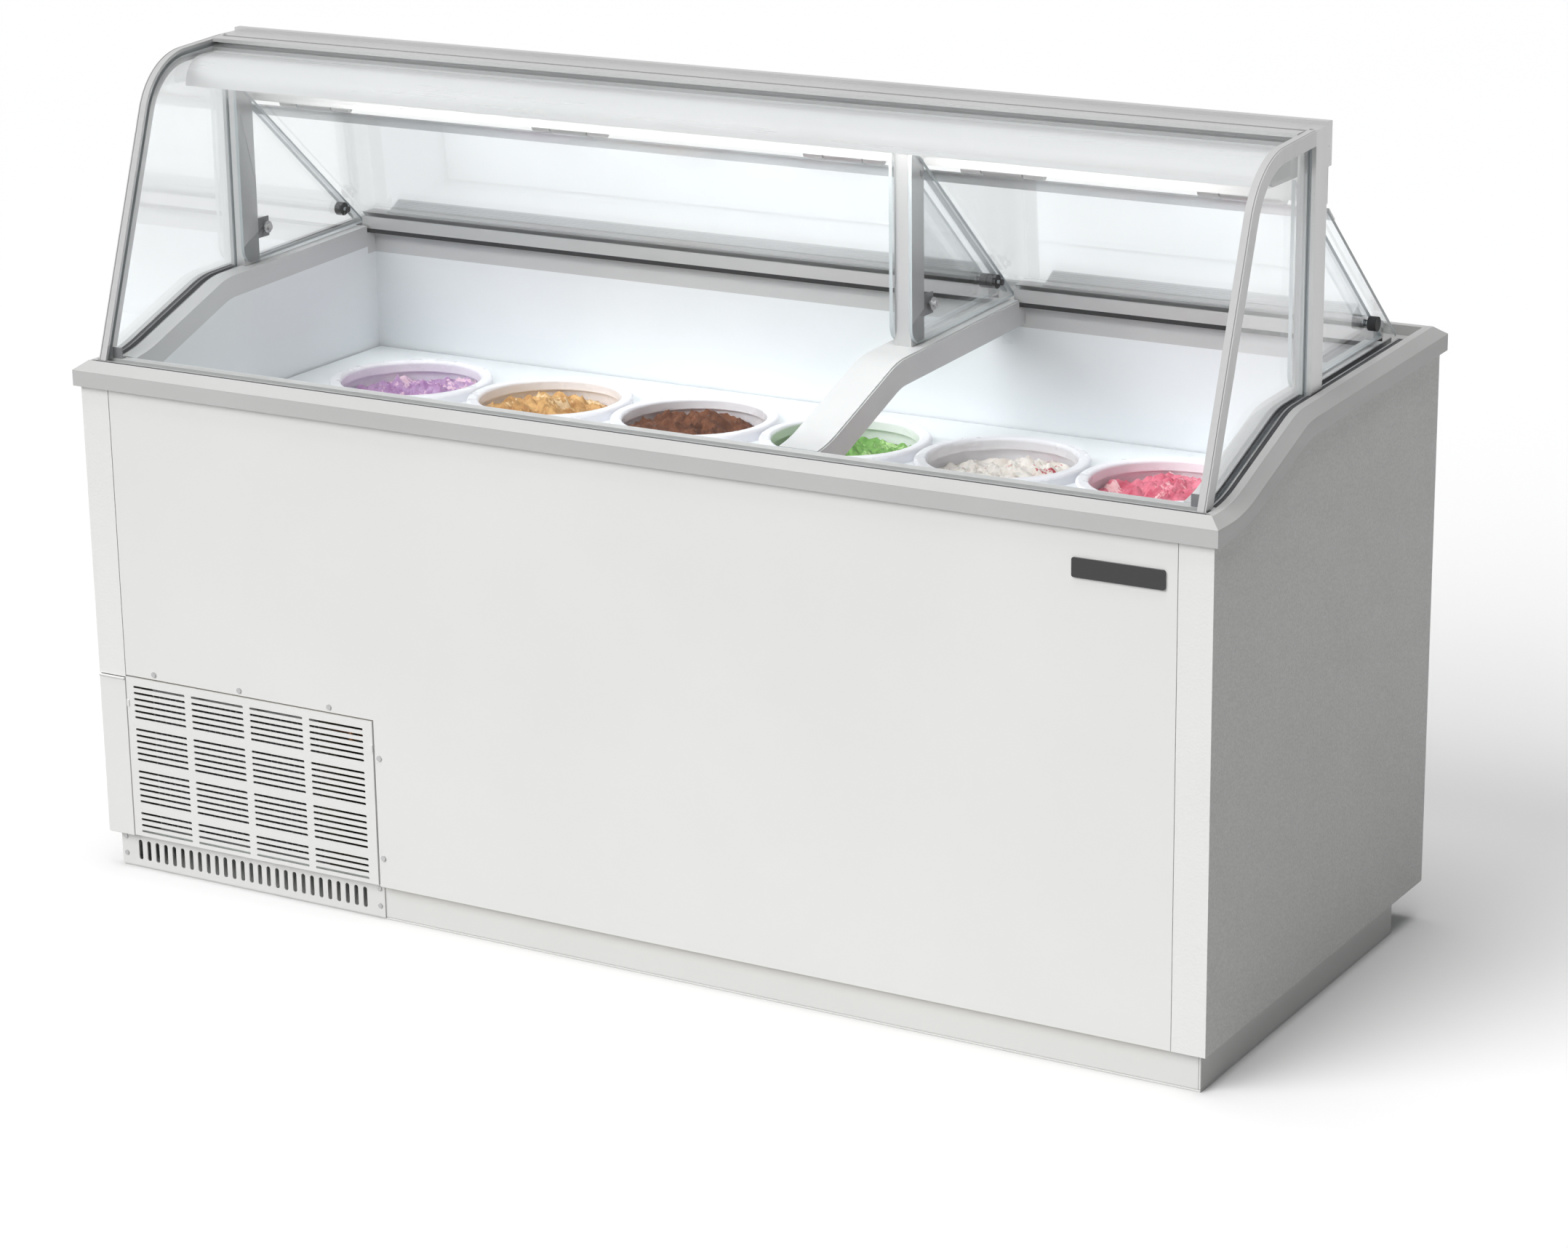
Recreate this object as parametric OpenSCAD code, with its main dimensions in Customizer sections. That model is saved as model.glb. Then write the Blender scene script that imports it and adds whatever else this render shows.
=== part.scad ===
// Ice cream dipping cabinet with a curved front glass and two flip-up rear lids.
// The origin is the centre of the base, on the floor. +X is to the right seen from the
// customer's side, -Y is the customer's side, +Y the server's side and +Z is up. Millimetres.

/* [Cabinet body] */
// Width of the sheet-steel body, without the trim
body_w = 1778; // [1400:1:2200]
// Depth of the sheet-steel body, without the trim
body_d = 724; // [650:1:900]
// Height of the recessed plinth under the body
plinth_h = 55; // [45:1:80]
// How far the plinth stands back at the ends
plinth_side_inset = 12; // [5:1:40]
// How far the plinth stands back at the front
plinth_front_inset = 14; // [5:1:60]
// How far the plinth stands back at the rear
plinth_rear_inset = 78; // [5:1:120]
// Thickness of the painted outer sheets
panel_t = 2; // [1:0.5:3]
// Width of the corner flanges seen from the front
corner_flange_w = 48; // [30:1:80]
// Gap drawn between neighbouring outer sheets
seam = 1; // [0.5:0.5:2]

/* [Well and insulation] */
// Outer face to inner liner face, at the ends
side_wall = 65; // [50:1:90]
// Outer face to inner liner face, at the front
front_wall = 48; // [45:1:70]
// Outer face to inner liner face, at the rear
rear_wall = 90; // [80:1:120]
// Thickness of the white inner liner
liner_t = 4; // [2:0.5:6]
// Height of the liner floor above the ground
floor_z = 130; // [115:1:180]
// Foam between the machine compartment and the raised liner floor
hump_foam = 45; // [30:1:80]

/* [Side rail curve] */
// Height of the trim's lower edge along the front
rail_z = 733; // [680:1:800]
// Front face of the body to the foot of the ramp
ramp_foot = 70; // [60:1:120]
// Length of the ramp, level to level
ramp_run = 201; // [150:1:260]
// Height that the ramp climbs
ramp_rise = 75; // [50:1:90]
// Height gained from the knee to the rear face
rear_rise = 16; // [0:1:30]
// Radius of the bend at the foot of the ramp
foot_r = 240; // [150:5:300]
// Radius of the bend at the knee of the ramp
knee_r = 90; // [50:5:150]

/* [Trim and collar] */
// How far the trim stands out from the body
trim_out = 8; // [4:1:15]
// Height of the trim's upright face
trim_face_h = 23; // [18:1:30]
// Whole height of the trim
trim_h = 36; // [32:1:44]
// Depth of the trim's sloped shoulder
shoulder_w = 16; // [8:1:20]
// Underside of the trim above its lower edge, where it caps the walls
trim_cap_v = 12; // [8:1:16]
// Width of each side trim that lies over the wall
side_trim_w = 18; // [14:1:24]
// Width of the side glass channel
channel_w = 20; // [18:1:26]
// Thickness of the collar's upright inner band
band_t = 4; // [3:0.5:6]
// Height of the collar's upright inner band
band_h = 32; // [24:1:45]
// Depth of the glass grooves
groove_d = 12; // [8:1:14]
// Height of the lid ledge above the rear trim's lower edge
ledge_v = 21; // [18:1:26]
// Width of the rear lip behind the lid ledge
rear_lip_w = 20; // [15:1:30]

/* [Divider] */
// Centre of the divider beam, from the middle of the cabinet
divider_x = 272; // [-300:1:400]
// Width of the divider beam
divider_w = 62; // [50:1:80]
// Depth of the divider beam
divider_h = 38; // [30:1:60]

/* [Glass house] */
// Height of the top of the end bars at the rear
top_z = 1192; // [1100:1:1260]
// Thickness of the front and side glass
glass_t = 5; // [4:0.5:6]
// Width of the curved end bars
bar_w = 12; // [12:0.5:16]
// Depth of the curved end bars
bar_d = 20; // [18:1:28]
// Front trim's outer face to the foot of the bars
bar_foot_y = 26; // [20:1:40]
// Lean of the glass from upright, in degrees
glass_lean = 19.5; // [10:0.5:30]
// Slope of the glass roof, in degrees
roof_slope = 3; // [0:0.5:6]
// Radius of the glass's bend, on the outside of the bars
glass_bend_r = 110; // [80:5:160]
// Width of the posts
post_w = 25; // [20:1:35]
// Depth of the posts
post_d = 37; // [30:1:50]
// From the rear sheet to the rear face of the posts
post_back = 355; // [330:1:380]
// Height of the top rail's rear leg
leg_h = 58; // [40:1:62]
// Thickness of the top rail's rear leg
leg_t = 13; // [8:1:16]
// Depth of the top rail over the canopy
top_rail_d = 69; // [60:1:90]
// Thickness of the top rail
top_rail_t = 18; // [14:1:24]

/* [Canopy and lamp] */
// Depth of the canopy sheet in front of the top rail
canopy_d = 80; // [70:1:100]
// Height of the canopy's rounded front
canopy_h = 40; // [36:1:50]
// Thickness of the canopy sheet
canopy_t = 2; // [1:0.5:3]
// Radius of the lamp tube
lamp_r = 13; // [8:0.5:13]
// Length of the lamp tube
lamp_len = 1500; // [1000:10:1600]

/* [Rear wings] */
// Thickness of the clear wings
wing_t = 5; // [4:0.5:8]
// Slope of the wings' upper edge, in degrees
wing_slope = 41.3; // [38:0.1:45]
// Gap under the wings
wing_gap = 3; // [2:0.5:6]
// Radius of the rounded lower front corner of a wing
wing_corner_r = 24; // [10:1:40]
// Radius of the rubber bumpers
bumper_r = 10; // [8:0.5:12]
// Wing's rear corner to the bumpers, along the slope
bumper_s = 50; // [30:1:90]

/* [Lids] */
// Thickness of the clear lid panes
lid_t = 5; // [4:0.5:8]
// Gap between the panes and the wings
lid_gap = 1; // [0.5:0.5:3]
// Rear face of the posts to the hinge pins
hinge_reach = 21; // [18:1:26]
// Height of the lid nose rails
nose_h = 27; // [20:1:34]
// Depth of the lid nose rails
nose_d = 34; // [26:1:40]
// Depth of the ribbed handle lip on each nose rail
handle_d = 50; // [40:1:60]
// Radius of the hinge knuckles
knuckle_r = 6; // [5:0.5:8]
// Radius of the hinge pins
hinge_pin_r = 2.5; // [2:0.5:3]
// Running clearance round a pin or a shaft
running_clearance = 0.05; // [0.02:0.01:0.1]

/* [Tubs] */
// Number of tubs in a row
tubs_in_row = 6; // [3:1:8]
// Distance between neighbouring tubs
tub_pitch = 248; // [246:1:270]
// Outer radius of a tub's rim
rim_r = 122; // [115:1:123]
// Width of a tub's thick rim
rim_w = 18; // [14:1:24]
// Height of a tub's thick rim
rim_h = 16; // [10:1:24]
// Height of a tub
tub_h = 250; // [200:1:260]
// Wall of a tub
tub_wall = 3; // [2:0.5:5]
// Height of the tub rims above the ground
rim_z = 680; // [640:1:700]
// Depth of the ice cream's surface below the rims
scoop_drop = 34; // [20:1:80]
// Middle of the rear row of tubs, from the middle of the cabinet
rear_row_y = 69; // [40:1:100]

/* [Grille] */
// Width of the grille panel
grille_w = 442; // [380:1:520]
// Height of the grille panel
grille_h = 246; // [220:1:260]
// Number of slot columns
slot_columns = 4; // [2:1:6]
// Length of a slot
slot_len = 94; // [60:1:100]
// Width of a slot
slot_w = 3.6; // [2:0.2:5]
// Distance between slot rows
slot_pitch = 9.3; // [7:0.1:9.6]
// Number of slots in the kick vent
kick_slots = 27; // [10:1:28]
// Distance between the kick vent's slots
kick_pitch = 15.7; // [12:0.1:16]

/* [Machine compartment] */
// Radius of the condenser fan
fan_r = 92; // [70:1:95]
// Radius of the fan shaft
fan_shaft_r = 4; // [3:0.5:6]
// Radius of the compressor shell
compressor_r = 74; // [60:1:80]
// Height of the compressor shell
compressor_h = 165; // [140:1:175]
// Radius of the thermostat knob
knob_r = 16; // [12:1:20]

/* [Hidden] */
half_w = body_w / 2;
badge_w = 129;
badge_h = 26;
half_d = body_d / 2;
front_y = -half_d;
liner_x = half_w - side_wall;
liner_front_y = front_y + front_wall;
liner_rear_y = half_d - rear_wall;
body_z = plinth_h;
pan_t = 3;
return_d = 16;
weld_gap = 0.2;
pan_top_z = body_z + pan_t;

// Machine compartment, at the left end behind the grille
grille_x0 = -half_w + corner_flange_w;
grille_x1 = grille_x0 + grille_w;
grille_z0 = body_z + 2;
grille_z1 = grille_z0 + grille_h;
room_x0 = -half_w + panel_t;
room_x1 = grille_x1 + 4;
room_z1 = grille_z1 + 4;
hump_x = room_x1 + hump_foam;
hump_z = room_z1 + hump_foam;

// S-shaped rail: level front, ramp, then a gentle climb to the rear
foot_y = front_y + ramp_foot;
knee_y = foot_y + ramp_run;
knee_z = rail_z + ramp_rise;
ramp_a = atan(ramp_rise / ramp_run);
rear_a = atan(rear_rise / (half_d - knee_y));
foot_tan = foot_r * tan(ramp_a / 2);
knee_tan = knee_r * tan((ramp_a - rear_a) / 2);
foot_centre = [foot_y - foot_tan, rail_z + foot_r];
knee_start = [knee_y - knee_tan * cos(ramp_a), knee_z - knee_tan * sin(ramp_a)];
knee_centre = [knee_start[0] + knee_r * sin(ramp_a), knee_start[1] - knee_r * cos(ramp_a)];

// Trim, collar and ledge
trim_face_y = front_y - trim_out;
trim_inner_x = half_w - side_trim_w;
channel_x = trim_inner_x - channel_w;
front_rail_inner_y = liner_front_y - band_t;
rear_rail_z = rear_line_z(half_d, 0);
ledge_z = rear_rail_z + ledge_v;
lip_y = half_d - rear_lip_w;
seal_w = 4;
lip_t = 2;
side_glass_x = channel_x + lip_t + seal_w;

// Glass house
post_rear_y = half_d - post_back;
post_x = trim_inner_x - 3 - post_w;
bar_x = trim_inner_x - 3 - bar_w;
post_front_y = post_rear_y - post_d;
front_top_z = rail_z + trim_h;
bar_foot = [trim_face_y + bar_foot_y, front_top_z];
lean_dir = [sin(glass_lean), cos(glass_lean)];
roof_dir = [cos(roof_slope), sin(roof_slope)];
bar_end = [post_rear_y, top_z];
bar_knee = line_cross(bar_foot, lean_dir, bar_end, roof_dir);
bend_a = 90 - glass_lean - roof_slope;
bend_tan = glass_bend_r * tan(bend_a / 2);
bend_start = bar_knee - bend_tan * lean_dir;
bend_end = bar_knee + bend_tan * roof_dir;
bend_centre = bend_start + glass_bend_r * [lean_dir[1], -lean_dir[0]];
glass_depth = 5;
rail_top_z = top_z - 2;
rail_under_z = rail_top_z - top_rail_t;
rail_front_y = post_rear_y - top_rail_d;
leg_y = post_rear_y;

// Canopy
canopy_rear_y = rail_front_y + 6;
canopy_front_y = rail_front_y - canopy_d + 6;
canopy_z1 = rail_under_z;
canopy_z0 = canopy_z1 - canopy_h;
canopy_half = bar_x - 6;

// Wings and lids, in the plane of the wings' sloped upper edge
wing_x = post_x - wing_t;
wing_corner = [liner_rear_y - 6, rear_line_z(liner_rear_y - 6, trim_h) + wing_gap + 1];
wing_front_y = post_front_y - 6;
wing_top_z = canopy_z0 - 4;
bumper_c = wing_corner + plane(-bumper_s, lid_gap - bumper_r - 0.3);
mid_post_x0 = divider_x - post_w / 2;
mid_post_x1 = divider_x + post_w / 2;
pivot_n = lid_gap + lid_t + knuckle_r;
pivot_s = (post_rear_y + hinge_reach - wing_corner[0] - pivot_n * sin(wing_slope)) / cos(wing_slope);
pivot = wing_corner + plane(pivot_s, pivot_n);
pane_s0 = pivot_s + 3;
pane_s1 = lid_gap;
nose_y = wing_corner[0] - 10;
nose_z = ledge_z + 7;
rest_y = nose_y - 4;
pane_end = half_w - 27;
pane_mid_gap = 4;
hinge_inset = 120;
hinge_ends = [-pane_end + hinge_inset, divider_x - pane_mid_gap / 2 - hinge_inset];
hinge_xs = [[hinge_ends[0], (hinge_ends[0] + hinge_ends[1]) / 2, hinge_ends[1]],
    [divider_x + pane_mid_gap / 2 + hinge_inset, pane_end - hinge_inset]];

// Tubs
tub_row_x = -(tubs_in_row - 1) / 2 * tub_pitch;
rows_y = [rear_row_y, rear_row_y - tub_pitch];
tub_r = rim_r - 9;
rack_t = 3;
rack_gap = 1.5;
rack_z = rim_z - rim_h - rack_t;
tub_base_z = rim_z - tub_h;
shelf_t = 3;
shelf_z = tub_base_z - shelf_t;
scoop_z = rim_z - scoop_drop;

// Machine parts
condenser_w = 300;
condenser_h = 216;
condenser_y = front_y + panel_t + 14;
condenser_d = 40;
condenser_z = pan_top_z + 8;
fan_x = grille_x0 + grille_w * 0.42;
fan_z = condenser_z + condenser_h / 2;
shroud_y = condenser_y + condenser_d;
shroud_d = 26;
fan_y = shroud_y + 5;
hub_d = 18;
motor_y = fan_y + hub_d + 8;
motor_d = 60;
compressor_x = fan_x + 60;
compressor_y = 60;
foot_h = 14;
control_x = room_x0 + 130;
control_z = pan_top_z + 150;
control_face_y = half_d - 17;
knob_x = control_x - 30;
switch_x = control_x + 30;
coil_r = 8;

paint = "whitesmoke";
satin = "silver";
rubber = "#202225";

// ---------- helpers ----------

// Height of the rear stretch of the rail at y, raised by v square to it
function rear_line_z(y, v) = knee_z + tan(rear_a) * (y - knee_y) + v / cos(rear_a);

// Where the line through p along d crosses the line through q along e
function line_cross(p, d, q, e) =
    let (k = ((q[0] - p[0]) * e[1] - (q[1] - p[1]) * e[0]) / (d[0] * e[1] - d[1] * e[0]))
    p + k * d;

// A step of s down the lid's slope and n square to it, as [y, z]
function plane(s, n) = [s * cos(wing_slope) + n * sin(wing_slope), n * cos(wing_slope) - s * sin(wing_slope)];

// A 2D shape in [y, z], extruded from x0 to x1
module along_x(x0, x1) {
    translate([x0, 0, 0]) rotate([90, 0, 90]) linear_extrude(x1 - x0) children();
}

// A 2D shape in [x, z], extruded from y0 to y1
module along_y(y0, y1) {
    translate([0, y1, 0]) rotate([90, 0, 0]) linear_extrude(y1 - y0) children();
}

// A box from its lowest to its highest corner
module box(a, b) {
    translate(a) cube(b - a);
}

// A rod along X
module rod_x(x0, x1, y, z, r) {
    translate([x0, y, z]) rotate([0, 90, 0]) cylinder(h = x1 - x0, r = r, $fn = 48);
}

// A rod along Y
module rod_y(x, y0, y1, z, r) {
    translate([x, y1, z]) rotate([90, 0, 0]) cylinder(h = y1 - y0, r = r, $fn = 48);
}

// The same piece at both ends of the cabinet
module both_ends() {
    children();
    mirror([1, 0, 0]) children();
}

// A slot with round ends, w wide and len long over all
module slot_2d(len, w) {
    translate([-(len - w) / 2, -w / 2]) square([len - w, w]);
    for (s = [-1, 1]) translate([s * (len - w) / 2, 0]) circle(r = w / 2, $fn = 24);
}

// A section in [x, height over the rail line], swept along the S-shaped rail from y0 to y1
module rail_sweep(y0, y1) {
    level_end = [foot_centre[0], rail_z];
    translate([0, level_end[0], rail_z]) rotate([90, 0, 0]) linear_extrude(level_end[0] - y0) children();
    translate([0, foot_centre[0], foot_centre[1]]) rotate([90, 0, 90]) rotate([0, 0, -90])
        rotate_extrude(angle = ramp_a, $fn = 180) translate([foot_r, 0]) rotate(90) children();
    ramp_start = foot_centre + foot_r * [sin(ramp_a), -cos(ramp_a)];
    translate([0, knee_start[0], knee_start[1]]) rotate([ramp_a, 0, 0]) rotate([90, 0, 0])
        linear_extrude(norm(knee_start - ramp_start)) children();
    translate([0, knee_centre[0], knee_centre[1]]) rotate([90, 0, 90]) rotate([0, 0, 90 + rear_a])
        rotate_extrude(angle = ramp_a - rear_a, $fn = 180) translate([knee_r, 0]) mirror([1, -1]) children();
    rear_start = knee_centre + knee_r * [-sin(rear_a), cos(rear_a)];
    intersection() {
        translate([0, rear_start[0], rear_start[1]]) rotate([rear_a, 0, 0])
            rotate([-90, 0, 0]) mirror([0, 1, 0])
            linear_extrude((y1 - rear_start[0]) / cos(rear_a) + 20) children();
        box([-body_w, -body_d, 0], [body_w, y1, 2 * top_z]);
    }
}

// Points on an arc round c from angle a to angle b, in n steps
function arc_points(c, r, a, b, n) = [for (i = [0 : n]) c + r * [cos(a + (b - a) * i / n), sin(a + (b - a) * i / n)]];

// Everything under the rail line raised by v, as a 2D shape in [y, z] from y0 to y1
module under_rail(v, y0, y1, z0 = 0) {
    ya = -half_d - 40;
    yb = half_d + 40;
    intersection() {
        polygon(concat([[ya, z0 - 5], [ya, rail_z + v]],
            arc_points(foot_centre, foot_r - v, -90, ramp_a - 90, 9),
            arc_points(knee_centre, knee_r + v, 90 + ramp_a, 90 + rear_a, 8),
            [[yb, rear_line_z(yb, v)], [yb, z0 - 5]]));
        translate([y0, z0]) square([y1 - y0, 2 * top_z]);
    }
}

// A bar of rectangular section that follows the rail, from x0 to x1, v0 to v1 and y0 to y1
module rail_bar(x0, x1, v0, v1, y0, y1) {
    along_x(x0, x1) difference() {
        under_rail(v1, y0, y1);
        under_rail(v0, y0 - 1, y1 + 1, -1);
    }
}

// Everything inside the glass house's outer curve by o, in [y, z]
module inside_arch(o, z0, y1) {
    n = [lean_dir[1], -lean_dir[0]];
    m = [roof_dir[1], -roof_dir[0]];
    low = bar_foot - 90 * lean_dir;
    far = bar_end + 60 * roof_dir;
    intersection() {
        polygon(concat([low + o * n],
            arc_points(bend_centre, glass_bend_r - o, 180 - glass_lean, 90 + roof_slope, 24),
            [far + o * m, [far[0], low[1]]]));
        translate([-body_d, z0]) square([body_d + y1, top_z + 100 - z0]);
    }
}

// The band from o1 to o2 inside the glass house's outer curve, in [y, z]
module arch(o1, o2, z0, y1) {
    difference() {
        inside_arch(o1, z0, y1);
        inside_arch(o2, z0 - 1, y1 + 1);
    }
}

// A box sloping with the lids, from s0, n0 to s1, n1, in [y, z]
module sloped(s0, s1, n0, n1) {
    polygon([wing_corner + plane(s0, n0), wing_corner + plane(s1, n0),
        wing_corner + plane(s1, n1), wing_corner + plane(s0, n1)]);
}

// A straight tube between two points
module tube_to(a, b, r) {
    d = b - a;
    translate(a) rotate([0, acos(d[2] / norm(d)), atan2(d[1], d[0])])
        cylinder(h = norm(d), r = r, $fn = 24);
}

// A bent tube through a list of points
module pipe(points, r) {
    for (i = [0 : len(points) - 2]) tube_to(points[i], points[i + 1], r);
    for (i = [1 : len(points) - 2]) translate(points[i]) sphere(r = r, $fn = 24);
}

// The centres of all tubs
module at_tubs() {
    for (y = rows_y) for (i = [0 : tubs_in_row - 1]) translate([tub_row_x + i * tub_pitch, y, 0])
        children();
}

// ---------- plinth and outer panels ----------

// A base sheet with four upright sheets standing on it
module plinth_frame() color(paint) {
    px = half_w - plinth_side_inset;
    py0 = front_y + plinth_front_inset;
    py1 = half_d - plinth_rear_inset;
    t = 3;
    z0 = t + weld_gap;
    box([-px, py0, 0], [px, py1, t]);
    both_ends() box([px - t, py0, z0], [px, py1, plinth_h]);
    box([-px + t + weld_gap, py1 - t, z0], [px - t - weld_gap, py1, plinth_h]);
    difference() {
        box([-px + t + weld_gap, py0, z0], [px - t - weld_gap, py0 + t, plinth_h]);
        box([-px + 12, py0 - 1, 9], [grille_x1 - 8, py0 + t + 1, plinth_h - 6]);
    }
}

module bottom_pan() color("lightgray") {
    difference() {
        box([-half_w + panel_t, front_y + return_d + seam, body_z],
            [half_w - panel_t, half_d - panel_t, pan_top_z]);
        for (i = [0 : 5]) translate([room_x0 + 90 + 60 * i, -150, body_z - 1])
            cube([30, 120, pan_t + 2]);
    }
}

module front_panel() color(paint) {
    x1 = half_w - corner_flange_w;
    difference() {
        union() {
            box([grille_x0 + seam, front_y, body_z], [x1 - seam, front_y + panel_t, rail_z + trim_cap_v]);
            box([x1 - seam - panel_t, front_y, body_z], [x1 - seam, front_y + return_d, rail_z]);
            box([grille_x1 + seam, front_y, body_z], [grille_x1 + seam + panel_t, front_y + 12, grille_z1]);
        }
        box([grille_x0, front_y - 1, body_z - 1], [grille_x1 + seam, front_y + 20, grille_z1 + seam]);
    }
}

// A side sheet with its front corner flange, for the right-hand end
module side_sheet(flange_z) {
    along_x(half_w - panel_t, half_w) under_rail(trim_cap_v, front_y, half_d - panel_t, body_z);
    box([half_w - corner_flange_w, front_y, flange_z], [half_w, front_y + panel_t, rail_z + trim_cap_v]);
    box([half_w - corner_flange_w, front_y, flange_z],
        [half_w - corner_flange_w + panel_t, front_y + return_d, rail_z]);
}

module right_side_panel() color(paint) {
    side_sheet(body_z);
}

module left_side_panel() color(paint) {
    mirror([1, 0, 0]) difference() {
        side_sheet(grille_z1 - 2);
        box([half_w - corner_flange_w - 1, front_y - 1, body_z - 1], [half_w + 1, front_y + 1, grille_z1 - 2]);
    }
}

module left_lower_cover() color(paint) {
    x1 = -half_w + corner_flange_w;
    z1 = grille_z1 - 2 - seam;
    box([-half_w, front_y - 1, body_z], [x1 - seam, front_y + 0.7, z1]);
    box([x1 - seam - panel_t, front_y, body_z], [x1 - seam, front_y + 12, z1]);
    box([-half_w + panel_t + 0.3, front_y, body_z + 4], [-half_w + 2 * panel_t + 0.3, front_y + 12, z1]);
    box([-half_w, front_y - 3, z1 - 3], [x1 - seam, front_y, z1]);
}

module rear_panel() color(paint) {
    difference() {
        box([-half_w, half_d - panel_t, body_z], [half_w, half_d, rear_line_z(half_d, trim_cap_v) - 0.5]);
        box([control_x - 62, half_d - 5, control_z - 42], [control_x + 62, half_d + 1, control_z + 42]);
        along_y(half_d - 5, half_d + 1) for (i = [0 : 9], j = [0, 1])
            translate([control_x + 160 + j * 120, pan_top_z + 40 + i * 18]) slot_2d(96, 6);
    }
}

module liner_space(g) {
    difference() {
        intersection() {
            box([-liner_x - g, liner_front_y - g, floor_z - g], [liner_x + g, liner_rear_y + g, 2 * top_z]);
            along_x(-half_w, half_w) under_rail(60, front_y - 50, half_d + 50);
        }
        box([-half_w, front_y, 0], [hump_x - g, half_d, hump_z - g]);
    }
}

// The evaporator's loops, grown by g
module coil_loops(g) {
    o = liner_t + 0.3;
    for (i = [0 : 4]) translate([0, 0, hump_z + 40 + 62 * i]) difference() {
        box([-liner_x - o - coil_r - g, liner_front_y - o - coil_r - g, -coil_r / 2 - g],
            [liner_x + o + coil_r + g, liner_rear_y + o + coil_r + g, coil_r / 2 + g]);
        box([-liner_x - o + g, liner_front_y - o + g, -coil_r], [liner_x + o - g, liner_rear_y + o - g, coil_r]);
    }
    box([hump_x + 50 - g, liner_rear_y + o - g, hump_z + 40 - g],
        [hump_x + 50 + coil_r + g, liner_rear_y + o + coil_r + g, hump_z + 40 + 62 * 4 + g]);
}

module insulation() color("khaki") {
    g = 0.3;
    difference() {
        intersection() {
            box([-half_w + panel_t + g, front_y + panel_t + g, pan_top_z],
                [half_w - panel_t - g, half_d - panel_t - g, 2 * top_z]);
            along_x(-half_w, half_w) under_rail(trim_cap_v - 0.5, front_y - 50, half_d + 50);
        }
        liner_space(liner_t + g);
        coil_loops(g);
        collar_space(g);
        box([-half_w, front_y, rail_z + trim_cap_v - 0.5], [half_w, front_rail_inner_y + g, 2 * top_z]);
        box([-half_w, front_y, 0], [room_x1, half_d, room_z1]);
        box([-half_w, front_y, 0], [-half_w + corner_flange_w + 6, front_y + 20, 2 * top_z]);
        box([half_w - corner_flange_w - 6, front_y, 0], [half_w, front_y + 20, 2 * top_z]);
    }
}

// Room for the liner's collar, grown by g, open upwards
module collar_space(g) {
    v0 = trim_h - band_h - g;
    both_ends() {
        rail_bar(liner_x - 1, liner_x + band_t + g, v0, trim_h + 1, front_rail_inner_y, rest_y);
        box([liner_x - 1, rest_y - g, ledge_z - band_h - g], [channel_x + g, liner_rear_y + band_t + g, top_z]);
    }
    box([-channel_x - g, front_rail_inner_y - g, rail_z + v0], [channel_x + g, liner_front_y + 1, top_z]);
    box([-channel_x - g, liner_rear_y - 1, ledge_z - band_h - g],
        [channel_x + g, liner_rear_y + band_t + g, top_z]);
}

module inner_liner() color("white") {
    difference() {
        intersection() {
            liner_space(liner_t);
            along_x(-half_w, half_w) under_rail(trim_h - band_h, front_y - 50, half_d + 50);
        }
        liner_space(0);
        box([-liner_x, liner_rear_y - 1, ledge_z - band_h], [liner_x, half_d, 2 * top_z]);
        box([-half_w, rest_y, ledge_z - band_h], [half_w, half_d, 2 * top_z]);
        box([-half_w, front_y, rail_z + trim_h - band_h], [half_w, liner_front_y, 2 * top_z]);
    }
}

module evaporator_coil() color("peru") {
    coil_loops(0);
}

module kick_vent_plate() color(paint) {
    x0 = -half_w + plinth_side_inset;
    x1 = grille_x1 - 1;
    y = front_y + plinth_front_inset;
    mid = (x0 + x1) / 2;
    along_y(y - 2, y) difference() {
        translate([x0, 3]) square([x1 - x0, plinth_h - 4]);
        for (i = [0 : kick_slots - 1]) translate([mid + (i - (kick_slots - 1) / 2) * kick_pitch, plinth_h / 2 + 1])
            rotate(90) slot_2d(plinth_h - 24, 7);
    }
}

module panel_fixings() color("silver") {
    for (k = [0.12, 0.47, 0.83]) rod_y(grille_x0 + k * grille_w, front_y - 1.6, front_y, grille_z1 + 9, 4);
    for (k = [0.17, 0.78]) rod_y(grille_x1 + 9, front_y - 1.6, front_y, grille_z0 + k * grille_h, 4);
    for (x = [-half_w + plinth_side_inset + 8, grille_x1 - 9], z = [20, 46])
        rod_y(x, front_y + plinth_front_inset - 3.4, front_y + plinth_front_inset - 2, z, 3.5);
}

module grille_panel() color(paint) {
    x0 = grille_x0 + seam;
    x1 = grille_x1 - seam;
    left = 14;
    gap = (grille_w - left - 17 - slot_columns * slot_len) / (slot_columns - 1);
    along_y(front_y - 1, front_y + 0.7) difference() {
        translate([x0, grille_z0]) square([x1 - x0, grille_h - seam]);
        for (c = [0 : slot_columns - 1], i = [0 : 24]) if (i % 7 != 6)
            translate([grille_x0 + left + slot_len / 2 + c * (slot_len + gap), grille_z1 - 15 - i * slot_pitch])
                slot_2d(slot_len, slot_w);
    }
    for (z = [grille_z0, grille_z1 - 3]) box([x0, front_y, z], [x1, front_y + 10, z + 2]);
    for (x = [x0, x1 - 2]) box([x, front_y, grille_z0], [x + 2, front_y + 10, grille_z1 - 1]);
    for (x = [x0, x1 - 4]) box([x, front_y - 2.2, grille_z1 - 46], [x + 4, front_y, grille_z1 - 36]);
}

module blank_badge() color("dimgray") {
    along_y(front_y - 3, front_y) translate([half_w - corner_flange_w - badge_w / 2 - 17, rail_z - 52])
        slot_plate(badge_w, badge_h, 3);
}

// A plate with rounded corners, centred
module slot_plate(w, h, r) {
    square([w - 2 * r, h], center = true);
    square([w, h - 2 * r], center = true);
    for (x = [-1, 1], y = [-1, 1]) translate([x * (w / 2 - r), y * (h / 2 - r)]) circle(r = r, $fn = 24);
}

// ---------- trim, collar and divider ----------

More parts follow.
